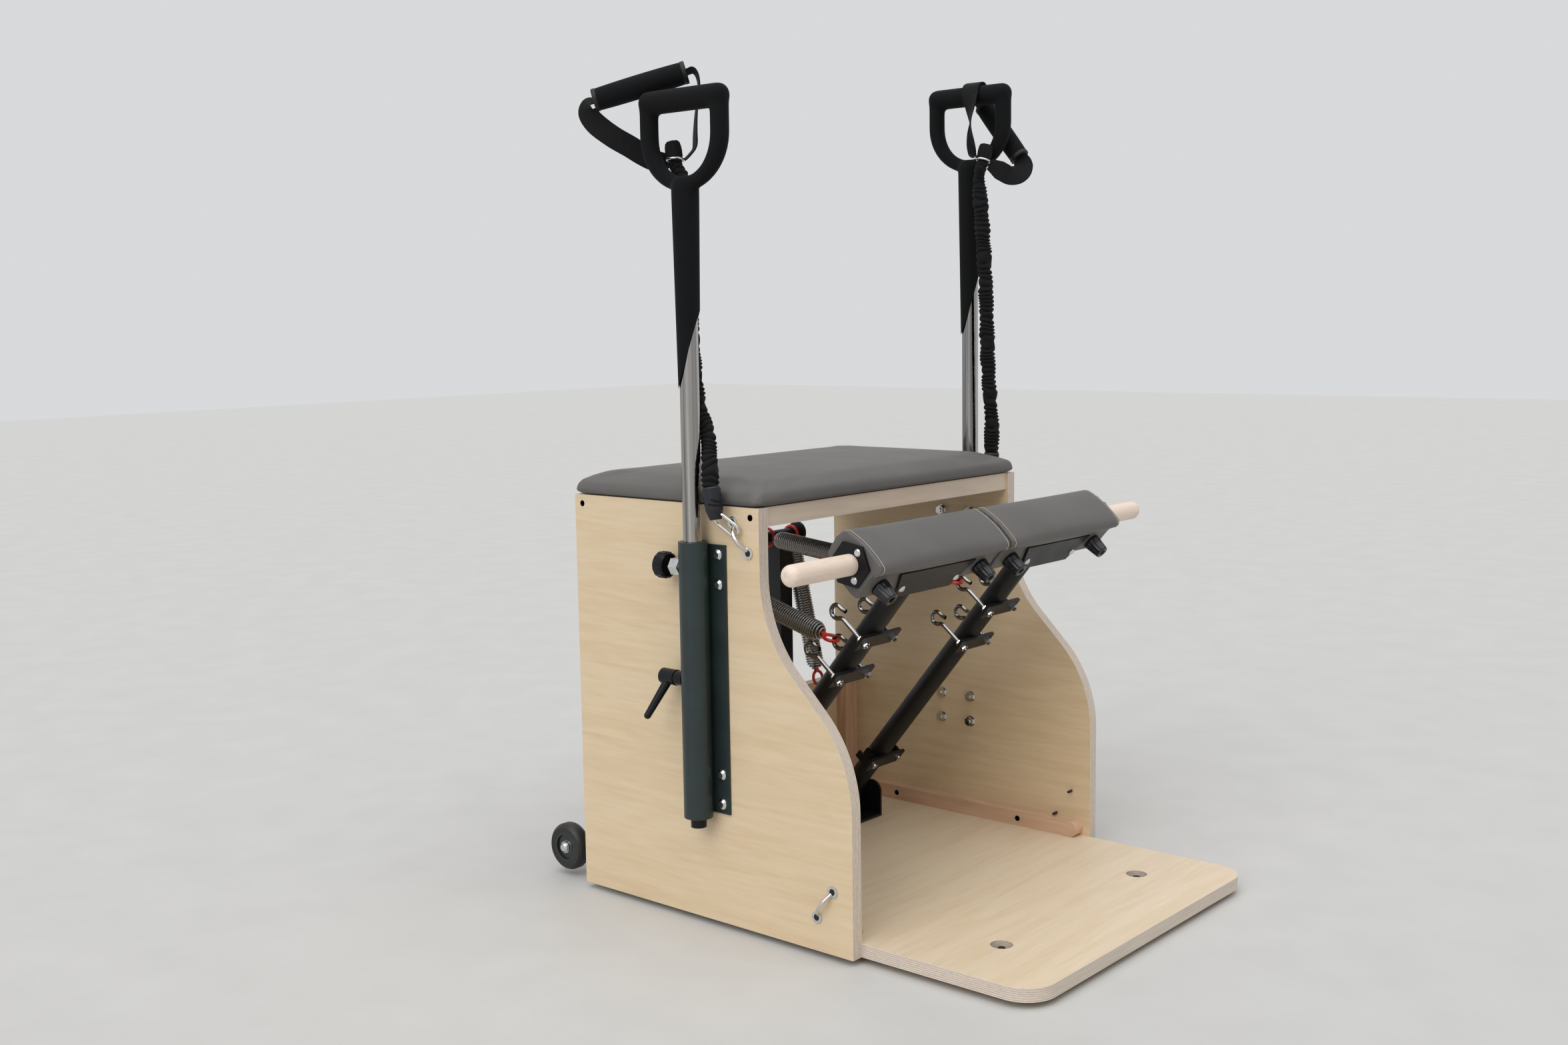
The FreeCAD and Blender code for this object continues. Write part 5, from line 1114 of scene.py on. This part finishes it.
# %% Rings and knots
RING, RING_WIRE, NECK_THICK = 0.0115, 0.0017, 0.0078
RING_SPOT = {"left": by_pole("left", (-25.6, 41.3, 51)), "right": by_pole("right", (-28, -44, 20.5))}
RING_NORMAL = {"left": np.array([0.13, 0.11, 0.98]), "right": np.array([0.24, -0.10, 0.96])}
KNOT_HEADING = {"left": unit(np.array([-0.02, 0.2, 0.98])), "right": unit(np.array([0.24, -0.1, 0.96]))}
BUD = np.array([(0.0075, 0), (0.0096, 0.0020), (0.0114, 0.0075), (0.0119, 0.0145), (0.0114, 0.0210),
                (0.0102, 0.0262), (0.0082, 0.0280), (0.0050, 0.0268), (0.0020, 0.0262)])
for side, sign in SIDES.items():
    spot, heading = RING_SPOT[side], KNOT_HEADING[side]
    ring = lay(side + "_plated_ring", loop(spot, RING_NORMAL[side], RING, RING_WIRE), plated, caps=False)
    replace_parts(show(ring), side + "_cord_ring")
    end = cords[side][-1]
    rise = unit(end - cords[side][-12])
    neck_line = through([end - 0.004 * rise, end + 0.010 * rise, spot - 0.012 * heading, spot], 80)
    neck = gathered_sleeve(neck_line, seed=2.2 + sign, thick=NECK_THICK)[1]
    angle = angles(72)
    height = np.linspace(0, 1, 40)[:, None]
    spread = np.linspace(0, 1, len(BUD))
    bud = np.hstack([np.interp(height, spread, BUD[:, column]) for column in (0, 1)])
    folds = 1 - 0.13 * np.sin(np.pi * height) * np.abs(np.sin(3.5 * angle + 2.2 * height + sign)) ** 2
    knot = turned(bud, spot - 0.003 * heading, heading, folds)
    tied = show(lay(side + "_tied_sleeve", [neck, knot], sleeve_cloth))
    for piece in (ring, tied):
        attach(piece, side + "_hand_pole")

# %% [markdown]
# ## Straps
# Flat webbing, 30 mm wide and 2 mm thick, runs from each end of the grip to the ring. It bends easily one way only,
# so it is a flat section carried along a smooth line, and its width turns slowly about that line as a tape twists.
# Its edges are a little thicker, as the selvedge of woven tape is.

# %% Strap lines
STRAP_LEGS = {
    "left": (((36.5, 142.4, 129.9), (36, 144.8, 118), (29, 135, 102), (15, 118, 85), (-1, 103, 72.2),
              (-15, 90, 60.5), (-26, 78, 53)),
             ((-54.5, 33.2, 169.8), (-58, 28.5, 162), (-57, 25, 145), (-51, 24, 122), (-46.5, 22.5, 103),
              (-43.5, 21, 85.5), (-42, 20.8, 68))),
    "right": (((33, 1, 121), (28, 0, 136), (15, -4, 145), (0, -8, 144.5), (-14, -12, 138), (-20, -14, 122),
               (-22, -16.6, 103), (-25.5, -19.1, 82.9), (-29, -21.5, 64)),
              ((35, -78, 18.5), (29, -81, 7), (18.5, -79, -1), (5.4, -73, -3), (-6, -67, 2))),
}
RING_SIDE = {"left": ((0.25, 0.97, 0), (0.65, -0.76, 0)), "right": ((-0.52, 0.69, 0.51), (0.52, -0.69, -0.51))}
LIE = {"left": ("opening", "on edge"), "right": ("twisted", "flat")}
FACING = np.array([0.752, 0.648, -0.121])
TAPE_POINTS, TAPE_THICK = 160, 0.0019


def strap_line(side, leg):
    """From the grip's end along the route to the ring, which the tape meets along a radius."""
    radius = unit(np.array(RING_SIDE[side][leg]))
    lift = 0.007 if LIE[side][leg] == "on edge" else 0.0
    arrive = RING_SPOT[side] + radius * np.array([[0.0195], [0.0120]]) + np.array([[0, 0, lift], [0, 0, 0]])
    return through(np.vstack([GRIP_ENDS[side][leg], by_pole(side, STRAP_LEGS[side][leg]), arrive]), TAPE_POINTS)


def strap_lead(line, lie):
    """Direction of the tape's width: square to the facing direction where it lies flat, along it where it is on edge,
    from one to the other where it opens, and turning from across the chair to along it where it is twisted."""
    along = heading_of(line)
    flat = np.cross(FACING, along)
    share = np.linspace(0, 1, len(line))[:, None]
    if lie == "twisted":
        turn = np.radians(np.interp(share, [0, 0.45, 0.65, 0.9, 1], [90, 90, 41, 0, -5]))
        return np.hstack([np.cos(turn), np.sin(turn), 0 * turn])
    if lie == "opening":
        open_share = np.interp(share, [0, 0.08, 0.36, 1], [0.4, 0.5, 1, 1])
        return (1 - open_share) * FACING + open_share * flat
    return flat if lie == "flat" else FACING + (0.1 + 0.25 * share ** 2) * flat


print("straps of two legs,", TAPE_POINTS, "points each")

# %% Webbing
def flat_section(width, thick):
    """Outline of a tape: the cosine and sine raised to small powers make a flat bar with round edges."""
    ring = circle(32)
    bar = np.sign(ring) * np.abs(ring) ** np.array([0.35, 0.6])
    selvedge = 1 + 0.25 * np.exp(-((np.abs(bar[:, :1]) - 0.88) / 0.08) ** 2)
    return bar * np.hstack([np.full((32, 1), width / 2), thick / 2 * selvedge])


share = np.linspace(0, 1, TAPE_POINTS)
width = np.interp(share, [0, 0.06, 0.14, 0.8, 1], [0.023, 0.025, 0.030, 0.030, 0.018])
tape = flat_section(1.0, TAPE_THICK) * np.stack([width, np.ones(TAPE_POINTS)], -1)[:, None]
for side in SIDES:
    lines = [strap_line(side, leg) for leg in (0, 1)]
    legs = [sweep(line, tape, strap_lead(line, lie)) for line, lie in zip(lines, LIE[side])]
    strap = show(lay(side + "_webbing_strap", legs, webbing))
    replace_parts(strap, side + "_strap")
    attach(strap, side + "_hand_pole")

# %% [markdown]
# ## Bumpers
# Two tapered bumpers stand on the front of each pedal. They are moulded with shallow flutes and a hole in the tip.
# The formula is a turned profile whose radius is multiplied by a wave of the angle, only on the tapered side.

# %% Fluted bumpers
BUMPER = np.array([(0.0120, 0.0), (0.0130, 0.0008), (0.0130, 0.003), (0.0126, 0.0045), (0.0120, 0.010),
                   (0.0112, 0.0165), (0.0104, 0.0225), (0.0099, 0.0248), (0.0090, 0.0258), (0.0058, 0.0258),
                   (0.0047, 0.0252), (0.0045, 0.024), (0.0045, 0.010)])
CUT_SHARE = np.array([0, 0, 0, 0.6, 1, 1, 1, 0.5, 0, 0, 0, 0, 0])
FLUTES, FLUTE_DEEP = 12, 0.09
BUMPER_X, BUMPER_BACK, BUMPER_UP = np.array([-0.112, 0.112]), np.full(2, -0.027), np.full(2, 0.585)
angle = angles(96)
flutes = 1 - FLUTE_DEEP * CUT_SHARE[:, None] * np.abs(np.cos(FLUTES / 2 * angle)) ** 3
front = np.array([0, -COS, -SIN])
for side, sign in SIDES.items():
    feet = on_pedal(sign, BUMPER_X, BUMPER_BACK, BUMPER_UP)
    grids = [turned(BUMPER, foot, front, flutes) for foot in feet]
    bumpers = show(lay(side + "_fluted_bumpers", grids, bumper_rubber))
    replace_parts(bumpers, side + "_bumpers")
    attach(bumpers, side + "_pedal")
